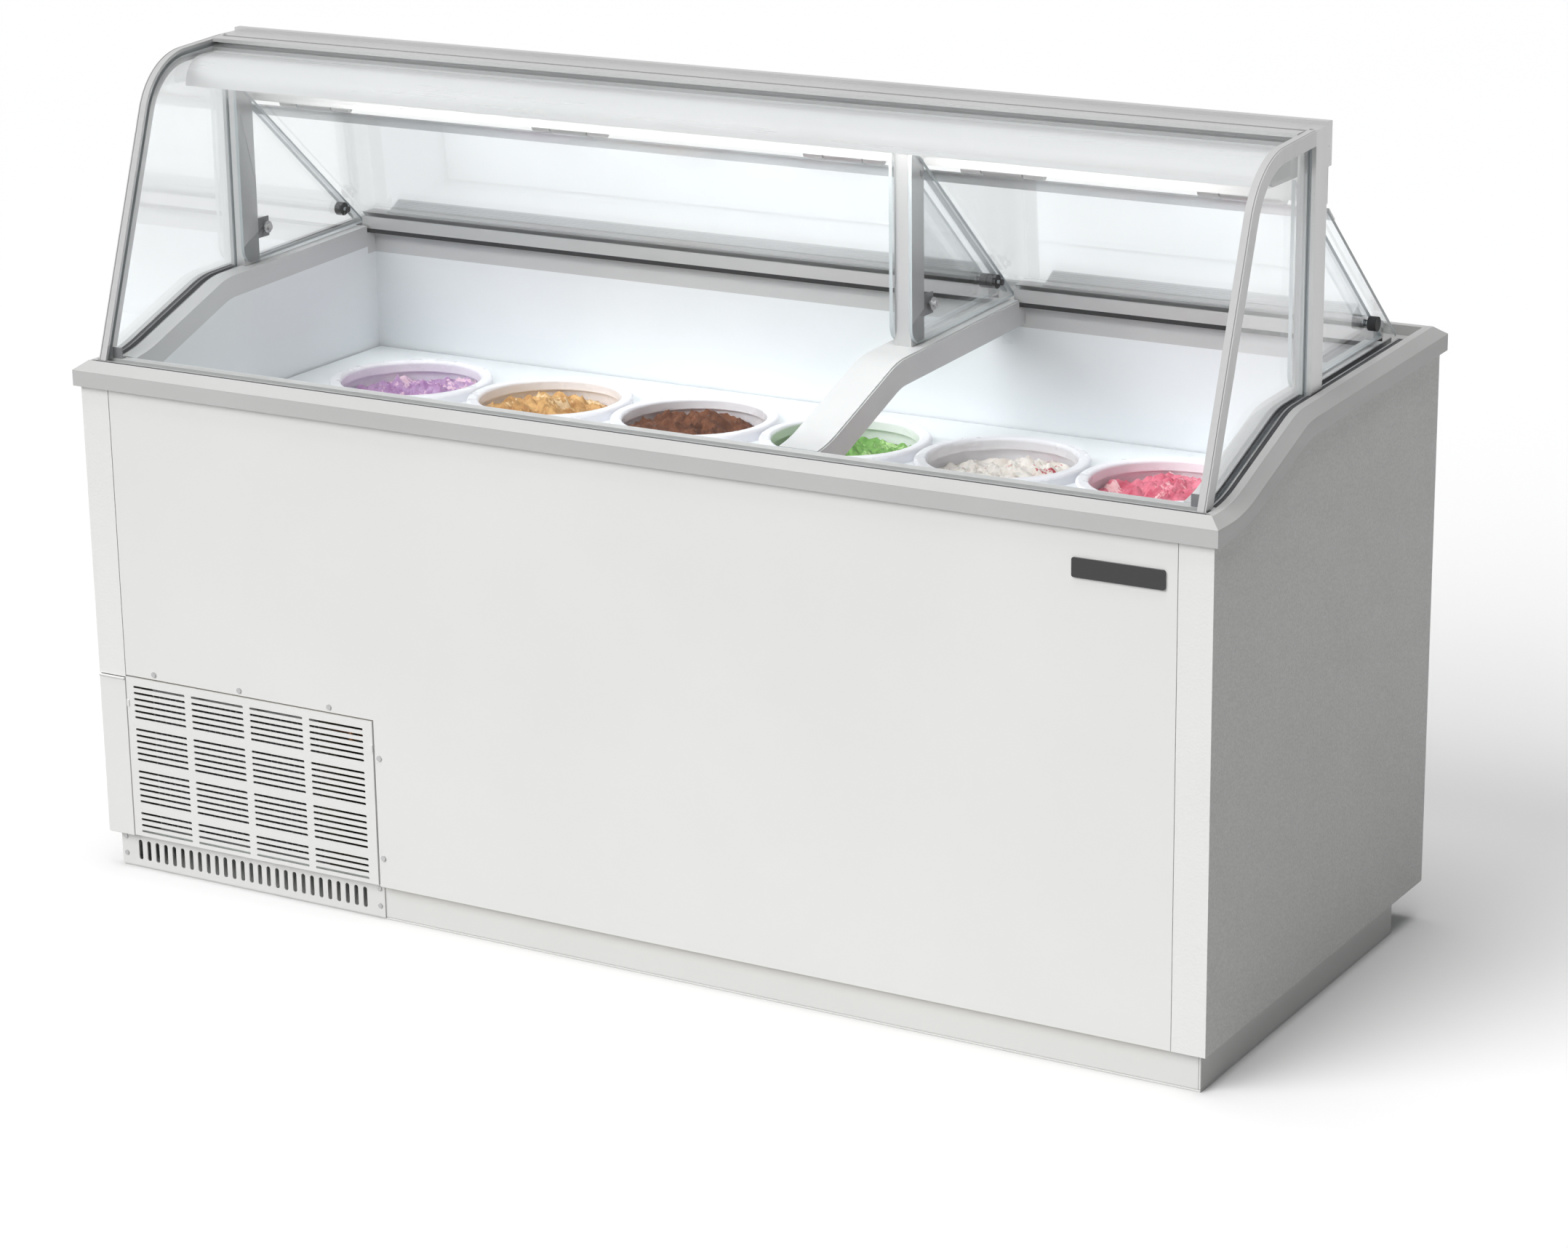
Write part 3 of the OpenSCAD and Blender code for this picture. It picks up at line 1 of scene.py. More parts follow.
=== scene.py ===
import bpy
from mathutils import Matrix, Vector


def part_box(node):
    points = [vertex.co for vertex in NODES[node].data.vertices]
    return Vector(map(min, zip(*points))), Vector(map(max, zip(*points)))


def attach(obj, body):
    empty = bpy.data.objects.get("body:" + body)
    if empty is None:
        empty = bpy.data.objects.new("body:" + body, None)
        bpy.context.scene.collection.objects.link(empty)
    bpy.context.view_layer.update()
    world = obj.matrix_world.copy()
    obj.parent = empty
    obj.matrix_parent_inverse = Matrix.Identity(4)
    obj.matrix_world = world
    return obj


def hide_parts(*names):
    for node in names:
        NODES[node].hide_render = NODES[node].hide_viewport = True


bl_info = {
    "name": "Ice Cream Dipping Cabinet",
    "version": (1, 0, 0),
    "blender": (4, 5, 0),
    "location": "View3D > Sidebar > Dipping Cabinet",
    "description": "Finishes a dipping cabinet with a curved glass, two rear lids and twelve tubs",
    "category": "Object",
}

import math

import bmesh
import bpy
from bpy.props import FloatProperty, FloatVectorProperty, IntProperty, PointerProperty
from mathutils import Matrix, Vector, noise

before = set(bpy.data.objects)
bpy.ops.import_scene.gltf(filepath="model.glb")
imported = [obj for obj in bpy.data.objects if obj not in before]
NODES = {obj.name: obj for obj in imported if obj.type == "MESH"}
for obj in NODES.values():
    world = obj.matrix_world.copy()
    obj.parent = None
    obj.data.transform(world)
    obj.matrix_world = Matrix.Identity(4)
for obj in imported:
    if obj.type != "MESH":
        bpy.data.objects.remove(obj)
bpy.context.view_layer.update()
MM = 0.001


# ---------- sizes and colours ----------

def colour(name, words, rgb):
    return FloatVectorProperty(name=name, description=words, default=rgb, subtype="COLOR",
                               size=3, min=0.0, max=1.0)


def length(name, words, mm):
    return FloatProperty(name=name, description=words, default=mm * MM, unit="LENGTH", min=0.0)


class CabinetColours(bpy.types.PropertyGroup):
    sheet: colour("Sheet", "Painted outer sheets", (0.86, 0.86, 0.845))
    trim: colour("Trim", "Satin trim round the counter", (0.56, 0.56, 0.555))
    collar: colour("Collar", "Collar and divider beam", (0.60, 0.605, 0.61))
    frame_metal: colour("Frame", "Anodised posts, bars and lid rails", (0.68, 0.68, 0.68))
    canopy: colour("Canopy", "Bright lamp canopy", (0.90, 0.90, 0.90))
    liner: colour("Liner", "Liner, rack and tubs", (0.83, 0.86, 0.885))
    edge: colour("Panel edge", "Cut edges of the clear panels", (0.55, 0.60, 0.62))


class CabinetSizes(bpy.types.PropertyGroup):
    relief: length("Scoop relief", "How deep the scooped surface is broken up", 19.0)
    edge_r: length("Edge radius", "Rounding of folded sheet edges", 1.2)
    rib: length("Rib", "Height of the ribs on the lid handles", 0.8)
    lamp_glow: FloatProperty(name="Lamp glow", description="Strength of the lamp tube",
                             default=9.0, min=0.0)
    rings: IntProperty(name="Rings", description="Rings across a scooped surface",
                       default=44, min=8, max=96)


def sizes():
    return bpy.context.scene.cabinet_sizes


def colours():
    return bpy.context.scene.cabinet_colours


# ---------- materials ----------

def new_material(name):
    """The material of that name and its shader, or no shader where it's already made."""
    old = bpy.data.materials.get(name)
    if old:
        return old, None
    mat = bpy.data.materials.new(name)
    mat.use_nodes = True
    tree = mat.node_tree
    tree.nodes.clear()
    out = tree.nodes.new("ShaderNodeOutputMaterial")
    surf = tree.nodes.new("ShaderNodeBsdfPrincipled")
    tree.links.new(surf.outputs["BSDF"], out.inputs["Surface"])
    return mat, surf


def mapped(tree, scale=(1, 1, 1)):
    """Object coordinates, stretched by scale."""
    coord = tree.nodes.new("ShaderNodeTexCoord")
    mapping = tree.nodes.new("ShaderNodeMapping")
    mapping.inputs["Scale"].default_value = scale
    tree.links.new(coord.outputs["Object"], mapping.inputs["Vector"])
    return mapping.outputs["Vector"]


def noise_at(tree, vector, scale, detail=4.0, rough=0.55):
    """A noise pattern with that many repeats to the metre."""
    tex = tree.nodes.new("ShaderNodeTexNoise")
    tex.inputs["Scale"].default_value = scale
    tex.inputs["Detail"].default_value = detail
    tex.inputs["Roughness"].default_value = rough
    tree.links.new(vector, tex.inputs["Vector"])
    return tex.outputs["Fac"]


def ramp(tree, fac, stops):
    """Blends between two colours, each given with its place from 0 to 1."""
    node = tree.nodes.new("ShaderNodeValToRGB")
    for stop, (at, rgb) in zip(node.color_ramp.elements, stops):
        stop.position = at
        stop.color = (*rgb, 1.0)
    tree.links.new(fac, node.inputs["Fac"])
    return node.outputs["Color"]


def bump(tree, surf, height, distance, strength=1.0):
    """Raises a shader's surface by a pattern of heights."""
    node = tree.nodes.new("ShaderNodeBump")
    node.inputs["Strength"].default_value = strength
    node.inputs["Distance"].default_value = distance
    tree.links.new(height, node.inputs["Height"])
    tree.links.new(node.outputs["Normal"], surf.inputs["Normal"])


def shade(rgb, k):
    """A colour made lighter or darker by the factor k."""
    return tuple(min(1.0, c * k) for c in rgb)


def facing_x(tree):
    """1 on faces that look mostly along X and 0 on the others."""
    coord = tree.nodes.new("ShaderNodeTexCoord")
    split = tree.nodes.new("ShaderNodeSeparateXYZ")
    tree.links.new(coord.outputs["Normal"], split.inputs["Vector"])
    size = tree.nodes.new("ShaderNodeMath")
    size.operation = "ABSOLUTE"
    tree.links.new(split.outputs["X"], size.inputs[0])
    test = tree.nodes.new("ShaderNodeMath")
    test.operation = "GREATER_THAN"
    test.inputs[1].default_value = 0.6
    tree.links.new(size.outputs[0], test.inputs[0])
    return test.outputs[0]


def finish(name, rgb, rough=0.4, metal=0.0, stretch=(1, 1, 1), grain=400.0, depth=0.02,
           vary=0.06, rough_vary=0.08, coat=0.0, blotch=3.0, speckle=0.0):
    """A finish with slow blotches of tone, a fine grain in relief and uneven gloss."""
    mat, surf = new_material(name)
    if surf is None:
        return mat
    tree = mat.node_tree
    surf.inputs["Metallic"].default_value = metal
    surf.inputs["Coat Weight"].default_value = coat
    surf.inputs["Coat Roughness"].default_value = 0.12
    slow = noise_at(tree, mapped(tree), blotch, 3.0)
    tone = ramp(tree, slow, [(0.3, shade(rgb, 1.0 - vary)), (0.7, shade(rgb, 1.0 + vary * 0.5))])
    fine = noise_at(tree, mapped(tree, stretch), grain, 3.0)
    if speckle:
        dots = ramp(tree, fine, [(0.35, (1.0 - speckle,) * 3), (0.65, (1.0, 1.0, 1.0))])
        mix = tree.nodes.new("ShaderNodeMix")
        mix.data_type = "RGBA"
        mix.blend_type = "MULTIPLY"
        tree.links.new(facing_x(tree), mix.inputs["Factor"])
        tree.links.new(tone, mix.inputs["A"])
        tree.links.new(dots, mix.inputs["B"])
        tone = mix.outputs["Result"]
    tree.links.new(tone, surf.inputs["Base Color"])
    wear = ramp(tree, noise_at(tree, mapped(tree, stretch), grain / 12.0, 4.0),
                [(0.3, (rough - rough_vary,) * 3), (0.7, (rough + rough_vary,) * 3)])
    tree.links.new(wear, surf.inputs["Roughness"])
    bump(tree, surf, fine, depth * MM)
    return mat


def sheet_finish(name, rgb, rough, depth, grain=260.0, speckle=0.0):
    """Paint on sheet metal, with a relief of depth millimetres."""
    return finish(name, rgb, rough, grain=grain, depth=depth, vary=0.02, rough_vary=0.05,
                  speckle=speckle)


def brushed(name, rgb, rough=0.34, along="X", metal=0.6):
    """Metal with fine brush lines along an axis."""
    stretch = tuple(0.03 if axis == along else 1.0 for axis in "XYZ")
    return finish(name, rgb, rough, metal, stretch=stretch, grain=600.0, depth=0.003, vary=0.04,
                  rough_vary=0.05)


def clear_finish(name, axis, tint=(0.988, 0.995, 0.997), gloss=0.4):
    """Clear sheet that lets light straight through, with a thin sheen and grey cut edges.

    The faces that look along X are clear where axis is X, and the others are where it isn't.
    """
    mat, surf = new_material(name)
    if surf is None:
        return mat
    tree = mat.node_tree
    out = next(n for n in tree.nodes if n.type == "OUTPUT_MATERIAL")
    surf.inputs["Metallic"].default_value = 1.0
    surf.inputs["Base Color"].default_value = (1.0, 1.0, 1.0, 1.0)
    smear = ramp(tree, noise_at(tree, mapped(tree), 6.0, 4.0),
                 [(0.4, (0.02, 0.02, 0.02)), (0.8, (0.10, 0.10, 0.10))])
    tree.links.new(smear, surf.inputs["Roughness"])
    clear = tree.nodes.new("ShaderNodeBsdfTransparent")
    clear.inputs["Color"].default_value = (*tint, 1.0)
    sheen = tree.nodes.new("ShaderNodeFresnel")
    sheen.inputs["IOR"].default_value = 1.45
    share = tree.nodes.new("ShaderNodeMath")
    share.operation = "MULTIPLY"
    share.inputs[1].default_value = gloss
    tree.links.new(sheen.outputs["Fac"], share.inputs[0])
    open_mix = tree.nodes.new("ShaderNodeMixShader")
    tree.links.new(share.outputs[0], open_mix.inputs["Fac"])
    tree.links.new(clear.outputs["BSDF"], open_mix.inputs[1])
    tree.links.new(surf.outputs["BSDF"], open_mix.inputs[2])
    cut = tree.nodes.new("ShaderNodeBsdfPrincipled")
    cut.inputs["Base Color"].default_value = (*colours().edge, 1.0)
    cut.inputs["Roughness"].default_value = 0.25
    flat, edge = (open_mix, cut) if axis == "X" else (cut, open_mix)
    mix = tree.nodes.new("ShaderNodeMixShader")
    tree.links.new(facing_x(tree), mix.inputs["Fac"])
    tree.links.new(edge.outputs[0], mix.inputs[1])
    tree.links.new(flat.outputs[0], mix.inputs[2])
    tree.links.new(mix.outputs["Shader"], out.inputs["Surface"])
    return mat


def rubber_finish(name, rgb=(0.018, 0.018, 0.02), rough=0.6):
    """Black rubber or dark moulded plastic."""
    return finish(name, rgb, rough, grain=700.0, depth=0.05, vary=0.2, rough_vary=0.1)


def flavour(name, base, second, third=None, streak=0.0):
    """Frozen, crumbly ice cream with two tones and an optional ripple of a third."""
    mat, surf = new_material(name)
    if surf is None:
        return mat
    tree = mat.node_tree
    surf.inputs["Subsurface Weight"].default_value = 0.18
    surf.inputs["Subsurface Radius"].default_value = (0.006, 0.004, 0.003)
    surf.inputs["Specular IOR Level"].default_value = 0.35
    tone = ramp(tree, noise_at(tree, mapped(tree), 38.0, 8.0, 0.65), [(0.36, second), (0.62, base)])
    if third:
        band = noise_at(tree, mapped(tree, (1, 2.2, 1)), 22.0, 5.0, 0.7)
        mask = ramp(tree, band, [(0.52 - streak, (0, 0, 0)), (0.56 - streak, (1, 1, 1))])
        mix = tree.nodes.new("ShaderNodeMix")
        mix.data_type = "RGBA"
        tree.links.new(mask, mix.inputs["Factor"])
        tree.links.new(tone, mix.inputs["A"])
        mix.inputs["B"].default_value = (*third, 1.0)
        tone = mix.outputs["Result"]
    tree.links.new(tone, surf.inputs["Base Color"])
    gloss = ramp(tree, noise_at(tree, mapped(tree), 90.0, 4.0),
                 [(0.3, (0.42,) * 3), (0.7, (0.78,) * 3)])
    tree.links.new(gloss, surf.inputs["Roughness"])
    bump(tree, surf, noise_at(tree, mapped(tree), 260.0, 6.0, 0.7), 1.6 * MM, 0.7)
    return mat


# ---------- meshes ----------

WELD_GAP = 0.02 * MM
MERGE_GAP = 0.005 * MM
FOLD_ANGLE = math.radians(35)


def paint(node, mat, edge=0.0):
    """Gives a CAD node its finish, and rounds its folds by edge."""
    obj = NODES[node]
    obj.data.materials.clear()
    obj.data.materials.append(mat)
    if edge:
        weld = obj.modifiers.new("Weld", "WELD")
        weld.merge_threshold = WELD_GAP
        bev = obj.modifiers.new("Edge", "BEVEL")
        bev.width = edge
        bev.segments = 2
        bev.limit_method = "ANGLE"
        bev.angle_limit = FOLD_ANGLE
        bev.harden_normals = False


def piece(name, bm, mat, body, stands_for=()):
    """Turns a bmesh into a smooth piece that rides on a body."""
    bmesh.ops.remove_doubles(bm, verts=bm.verts, dist=MERGE_GAP)
    bmesh.ops.recalc_face_normals(bm, faces=bm.faces)
    mesh = bpy.data.meshes.new(name)
    bm.to_mesh(mesh)
    bm.free()
    obj = bpy.data.objects.new(name, mesh)
    bpy.context.scene.collection.objects.link(obj)
    mesh.materials.append(mat)
    for poly in mesh.polygons:
        poly.use_smooth = True
    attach(obj, body)
    if stands_for:
        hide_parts(*stands_for)


def extrude_profile(bm, points, x0, x1):
    """A closed outline in (y, z), drawn along X from x0 to x1."""
    verts = [bm.verts.new((x0, y, z)) for y, z in points]
    face = bm.faces.new(verts)
    out = bmesh.ops.extrude_face_region(bm, geom=[face])
    moved = [v for v in out["geom"] if isinstance(v, bmesh.types.BMVert)]
    bmesh.ops.translate(bm, vec=(x1 - x0, 0, 0), verts=moved)


# ---------- operators ----------

class CABINET_OT_sheets(bpy.types.Operator):
    """Painted outer sheets, grille, plinth and badge"""
    bl_idname = "cabinet.sheets"
    bl_label = "Outer sheets"

    def execute(self, context):
        c = colours()
        white = sheet_finish("White sheet", c.sheet, 0.34, depth=0.03)
        stucco = sheet_finish("Stucco sheet", shade(c.sheet, 1.03), 0.42, depth=0.4, grain=330.0,
                              speckle=0.14)
        r = sizes().edge_r
        for n in ("front_panel", "left_lower_cover"):
            paint(n, white, r)
        paint("grille_panel", white)
        paint("kick_vent_plate", white)
        paint("rear_panel", white)
        for n in ("left_side_panel", "right_side_panel"):
            paint(n, stucco, r)
        paint("plinth_frame", white, r)
        paint("bottom_pan", finish("Galvanised pan", (0.55, 0.60, 0.58), 0.4, 0.7, grain=60.0,
                                   vary=0.2))
        badge = finish("Badge", (0.012, 0.012, 0.014), 0.18, grain=300.0, coat=0.6)
        paint("blank_badge", badge, 0.6 * MM)
        return {"FINISHED"}


class CABINET_OT_rails(bpy.types.Operator):
    """Counter trim, collar, channels and divider beam"""
    bl_idname = "cabinet.rails"
    bl_label = "Counter rails"

    def execute(self, context):
        c = colours()
        trim = finish("Satin trim", c.trim, 0.36, 0.15, stretch=(0.05, 0.05, 1), grain=500.0,
                      depth=0.015, vary=0.04)
        collar = finish("Collar", c.collar, 0.4, 0.1, grain=500.0, depth=0.02)
        for n in ("front_trim", "side_trims", "rear_trim"):
            paint(n, trim)
        paint("liner_collar", collar)
        paint("divider_beam", collar)
        paint("glass_channels", brushed("Channel", (0.33, 0.33, 0.34), along="Y"))
        paint("glass_seals", rubber_finish("Black seal", (0.05, 0.05, 0.055)))
        return {"FINISHED"}


class CABINET_OT_glass_house(bpy.types.Operator):
    """Posts, end bars, top rail and the glass they carry"""
    bl_idname = "cabinet.glass_house"
    bl_label = "Glass house"

    def execute(self, context):
        c = colours()
        upright = brushed("Upright metal", c.frame_metal, 0.32, "Z")
        across = brushed("Rail metal", c.frame_metal, 0.32, "X")
        paint("corner_posts", upright)
        paint("middle_post", upright)
        paint("end_bars", brushed("Bar metal", shade(c.frame_metal, 0.95), 0.36, "Z", metal=0.5))
        paint("top_rail", across)
        paint("front_glass", clear_finish("Front glass", "other"))
        paint("side_glasses", clear_finish("Side glass", "X"))
        paint("glass_brackets", finish("Bracket", (0.30, 0.30, 0.31), 0.45, 0.4))
        return {"FINISHED"}


class CABINET_OT_canopy(bpy.types.Operator):
    """Lamp canopy, its ends, the tube and its holders"""
    bl_idname = "cabinet.canopy"
    bl_label = "Canopy and lamp"

    def execute(self, context):
        c = colours()
        paint("canopy", brushed("Canopy sheet", c.canopy, 0.3, "X", metal=0.35))
        # Painted shade: the canopy end plates get a dark grey colour for the shadow they stand in under
        # the canopy.
        paint("canopy_ends", finish("Canopy end painted shade", (0.16, 0.16, 0.165), 0.5))
        tube = finish("Lamp tube", (0.85, 0.85, 0.83), 0.2, grain=200.0, depth=0.005, coat=0.5)
        glow = next(n for n in tube.node_tree.nodes if n.type == "BSDF_PRINCIPLED")
        glow.inputs["Emission Color"].default_value = (1.0, 0.985, 0.96, 1.0)
        glow.inputs["Emission Strength"].default_value = sizes().lamp_glow
        paint("lamp_tube", tube)
        paint("lamp_holders", finish("Lamp holder", (0.78, 0.78, 0.76), 0.35))
        return {"FINISHED"}


class CABINET_OT_wings(bpy.types.Operator):
    """Clear wings with their bolts and bumpers"""
    bl_idname = "cabinet.wings"
    bl_label = "Rear wings"

    def execute(self, context):
        wing = clear_finish("Clear wing", "X")
        paint("side_wings", wing)
        paint("middle_wings", wing)
        paint("wing_bolts", brushed("Bolt steel", (0.55, 0.55, 0.56), 0.28, "X"), 0.5 * MM)
        paint("lid_bumpers", rubber_finish("Bumper rubber"), 1.2 * MM)
        paint("lid_hinges", brushed("Hinge steel", (0.80, 0.80, 0.80), 0.35, "X", metal=0.3))
        return {"FINISHED"}


class CABINET_OT_lids(bpy.types.Operator):
    """Lid panes, nose rails and ribbed handles"""
    bl_idname = "cabinet.lids"
    bl_label = "Lids"

    def execute(self, context):
        c = colours()
        rail = brushed("Lid rail metal", c.frame_metal, 0.34, "X")
        pane = clear_finish("Lid pane", "other")
        for side in ("left", "right"):
            paint(f"{side}_lid_pane", pane)
            paint(f"{side}_lid_nose", rail)
            paint(f"{side}_lid_top", rail)
            paint(f"{side}_lid_handle", rail)
            self.ribs(side, rail)
            paint(f"{side}_lid_seal", rubber_finish("Lid seal"))
        return {"FINISHED"}

    def ribs(self, side, mat):
        """Half-round grip ribs on the slope of the handle lip, which rises past a flat foot."""
        ribs, arc_steps = 6, 6
        foot, end_gap, sink = 8 * MM, 3 * MM, 0.1 * MM
        run, rise = 24 * MM, 13 * MM
        first_share, share_step = 0.12, 0.14
        lo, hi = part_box(f"{side}_lid_handle")
        r = sizes().rib
        slope = math.hypot(run, rise)
        along, up = Vector((run, rise)) / slope, Vector((-rise, run)) / slope
        start = Vector((lo.y + foot, hi.z - rise))
        bm = bmesh.new()
        for i in range(ribs):
            mid = start + along * slope * (first_share + share_step * i)
            arc = [mid + along * r * math.cos(a) + up * (r * math.sin(a) - sink)
                   for a in (math.pi * k / arc_steps for k in range(arc_steps + 1))]
            extrude_profile(bm, [tuple(p) for p in arc], lo.x + end_gap, hi.x - end_gap)
        piece(f"{side}_lid_ribs", bm, mat, f"{side}_lid")


class CABINET_OT_well(bpy.types.Operator):
    """Liner, foam, rack, shelf and tubs"""
    bl_idname = "cabinet.well"
    bl_label = "Well and tubs"

    def execute(self, context):
        c = colours()
        paint("inner_liner", finish("Liner", c.liner, 0.35, grain=120.0, depth=0.03, vary=0.04))
        paint("insulation", finish("Foam", (0.75, 0.62, 0.32), 0.85, grain=160.0, depth=0.4, vary=0.15))
        paint("tub_rack", finish("Rack", c.liner, 0.38, grain=150.0, depth=0.02))
        paint("tub_shelf", brushed("Shelf steel", (0.55, 0.55, 0.56), 0.35, "X"))
        paint("tubs", finish("Tub plastic", (0.88, 0.88, 0.92), 0.3, grain=140.0, depth=0.03, coat=0.2))
        paint("evaporator_coil", finish("Coil tube", (0.62, 0.33, 0.2), 0.3, 0.9))
        return {"FINISHED"}


TUBS_IN_ROW = 6
TUB_RIM_R = 0.122

# Each flavour's main tone, darker tone and ripple, and how much the ripple spreads or, below 0, shrinks.
FLAVOURS = {
    "Ube": ((0.56, 0.38, 0.60), (0.36, 0.18, 0.40), (0.78, 0.56, 0.68), -0.02),
    "Caramel": ((0.72, 0.46, 0.20), (0.45, 0.22, 0.07), (0.82, 0.62, 0.38), -0.05),
    "Chocolate": ((0.20, 0.075, 0.035), (0.085, 0.028, 0.012), None, 0.0),
    "Pistachio": ((0.26, 0.50, 0.15), (0.12, 0.28, 0.06), (0.42, 0.62, 0.28), -0.04),
    "Cream ripple": ((0.90, 0.86, 0.82), (0.74, 0.68, 0.62), (0.50, 0.05, 0.08), -0.06),
    "Strawberry": ((0.80, 0.26, 0.34), (0.58, 0.10, 0.16), (0.90, 0.58, 0.60), -0.03),
}


class CABINET_OT_ice_cream(bpy.types.Operator):
    """A scooped, broken surface of ice cream in every tub"""
    bl_idname = "cabinet.ice_cream"
    bl_label = "Ice cream"

    def execute(self, context):
        lo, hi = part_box("ice_cream")
        radius = fill_radius(hi)
        pitch = (hi.x - lo.x - 2 * radius) / (TUBS_IN_ROW - 1)
        names = list(FLAVOURS)
        for row, y in enumerate((hi.y - radius, lo.y + radius)):
            for i in range(TUBS_IN_ROW):
                key = names[(i + len(names) // 2 * row) % len(names)]
                mat = flavour(key, *FLAVOURS[key])
                at = Vector((lo.x + radius + i * pitch, y, hi.z))
                self.scooped(f"ice_cream_{row}_{i}", at, hi.z - lo.z, radius, mat, 10.0 * row + i)
        return {"FINISHED"}

    def scooped(self, name, at, depth, radius, mat, seed):
        """A closed cylinder whose top is broken up, with the middle of the top at a place."""
        rings, steps_round = sizes().rings, 96
        top_skin, pole_gap = 1 * MM, 0.01 * MM
        bm = bmesh.new()
        rim = [bm.verts.new((radius * k / rings, 0, 0)) for k in range(rings + 1)]
        foot = bm.verts.new((radius, 0, -depth))
        for a, b in zip(rim, rim[1:] + [foot]):
            bm.edges.new((a, b))
        bmesh.ops.spin(bm, geom=list(bm.verts) + list(bm.edges), cent=(0, 0, 0), axis=(0, 0, 1),
                       angle=math.tau, steps=steps_round, use_merge=True,
                       use_duplicate=False)
        bmesh.ops.remove_doubles(bm, verts=bm.verts, dist=pole_gap)
        bottom = [e for e in bm.edges if e.is_boundary]
        bmesh.ops.holes_fill(bm, edges=bottom, sides=0)
        for v in bm.verts:
            if v.co.z >= -top_skin:
                share = math.hypot(v.co.x, v.co.y) / radius
                v.co.z = self.relief(v.co, share, seed) * sizes().relief
        bmesh.ops.translate(bm, vec=at, verts=bm.verts)
        piece(name, bm, mat, "cabinet", ("ice_cream",))

    def relief(self, co, share, seed):
        """Height of the surface, where share runs from 0 at the middle to 1 at the wall."""
        waves_per_m, edge_band, edge_drop = 9.0, 0.1, 0.85
        p = Vector((co.x, co.y, seed)) * waves_per_m
        broad = noise.noise(p) * 0.9
        ridge = 1.0 - abs(noise.noise(p * 2.3 + Vector((3.1, 0, 0)))) * 2.0
        crumb = noise.fractal(p * 7.0, 0.55, 2.1, 4) * 0.5
        dome = 0.5 * (1.0 - share * share)
        fade = 1.0 - max(0.0, share - (1.0 - edge_band)) / edge_band * edge_drop
        return (broad + 0.45 * ridge + crumb + dome) * fade


def fill_radius(fill_top):
    """Radius of the ice cream, which ends as far inside the rims as its box inside the tubs' box."""
    tubs_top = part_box("tubs")[1]
    return TUB_RIM_R - (tubs_top.y - fill_top.y)


class CABINET_OT_machine(bpy.types.Operator):
    """Compressor, condenser, fan, lines and controls"""
    bl_idname = "cabinet.machine"
    bl_label = "Machine compartment"

    def execute(self, context):
        paint("compressor", finish("Compressor paint", (0.015, 0.015, 0.017), 0.35, 0.2))
        paint("condenser", brushed("Fins", (0.42, 0.43, 0.44), 0.4, "Z"))
        paint("fan_shroud", finish("Shroud", (0.35, 0.36, 0.37), 0.45, 0.6))
        paint("fan_motor", finish("Motor", (0.05, 0.05, 0.055), 0.45, 0.3))
        paint("fan_blade", finish("Fan blade", (0.25, 0.26, 0.27), 0.4, 0.5))
        paint("refrigerant_lines", finish("Copper line", (0.62, 0.30, 0.17), 0.28, 0.95))
        dark = rubber_finish("Control plastic", (0.02, 0.02, 0.022), 0.45)
        paint("control_box", dark)
        paint("thermostat_knob", dark, 0.8 * MM)
        paint("lamp_switch", dark, 0.8 * MM)
        return {"FINISHED"}


class CABINET_OT_fixings(bpy.types.Operator):
    """Plain round screw heads on the grille and the kick plate"""
    bl_idname = "cabinet.fixings"
    bl_label = "Screws"

    def execute(self, context):
        paint("panel_fixings", brushed("Screw steel", (0.55, 0.55, 0.55), 0.3, "X"), 0.4 * MM)
        return {"FINISHED"}


FLOOR_HALF = 40.0
LAMP_HEIGHT = 3.0
CAMERA_PLACE = (2.910, -4.808, 2.149)
CAMERA_TURN = (30.65, 17.25, -0.79)
CAMERA_LENS = 94.95


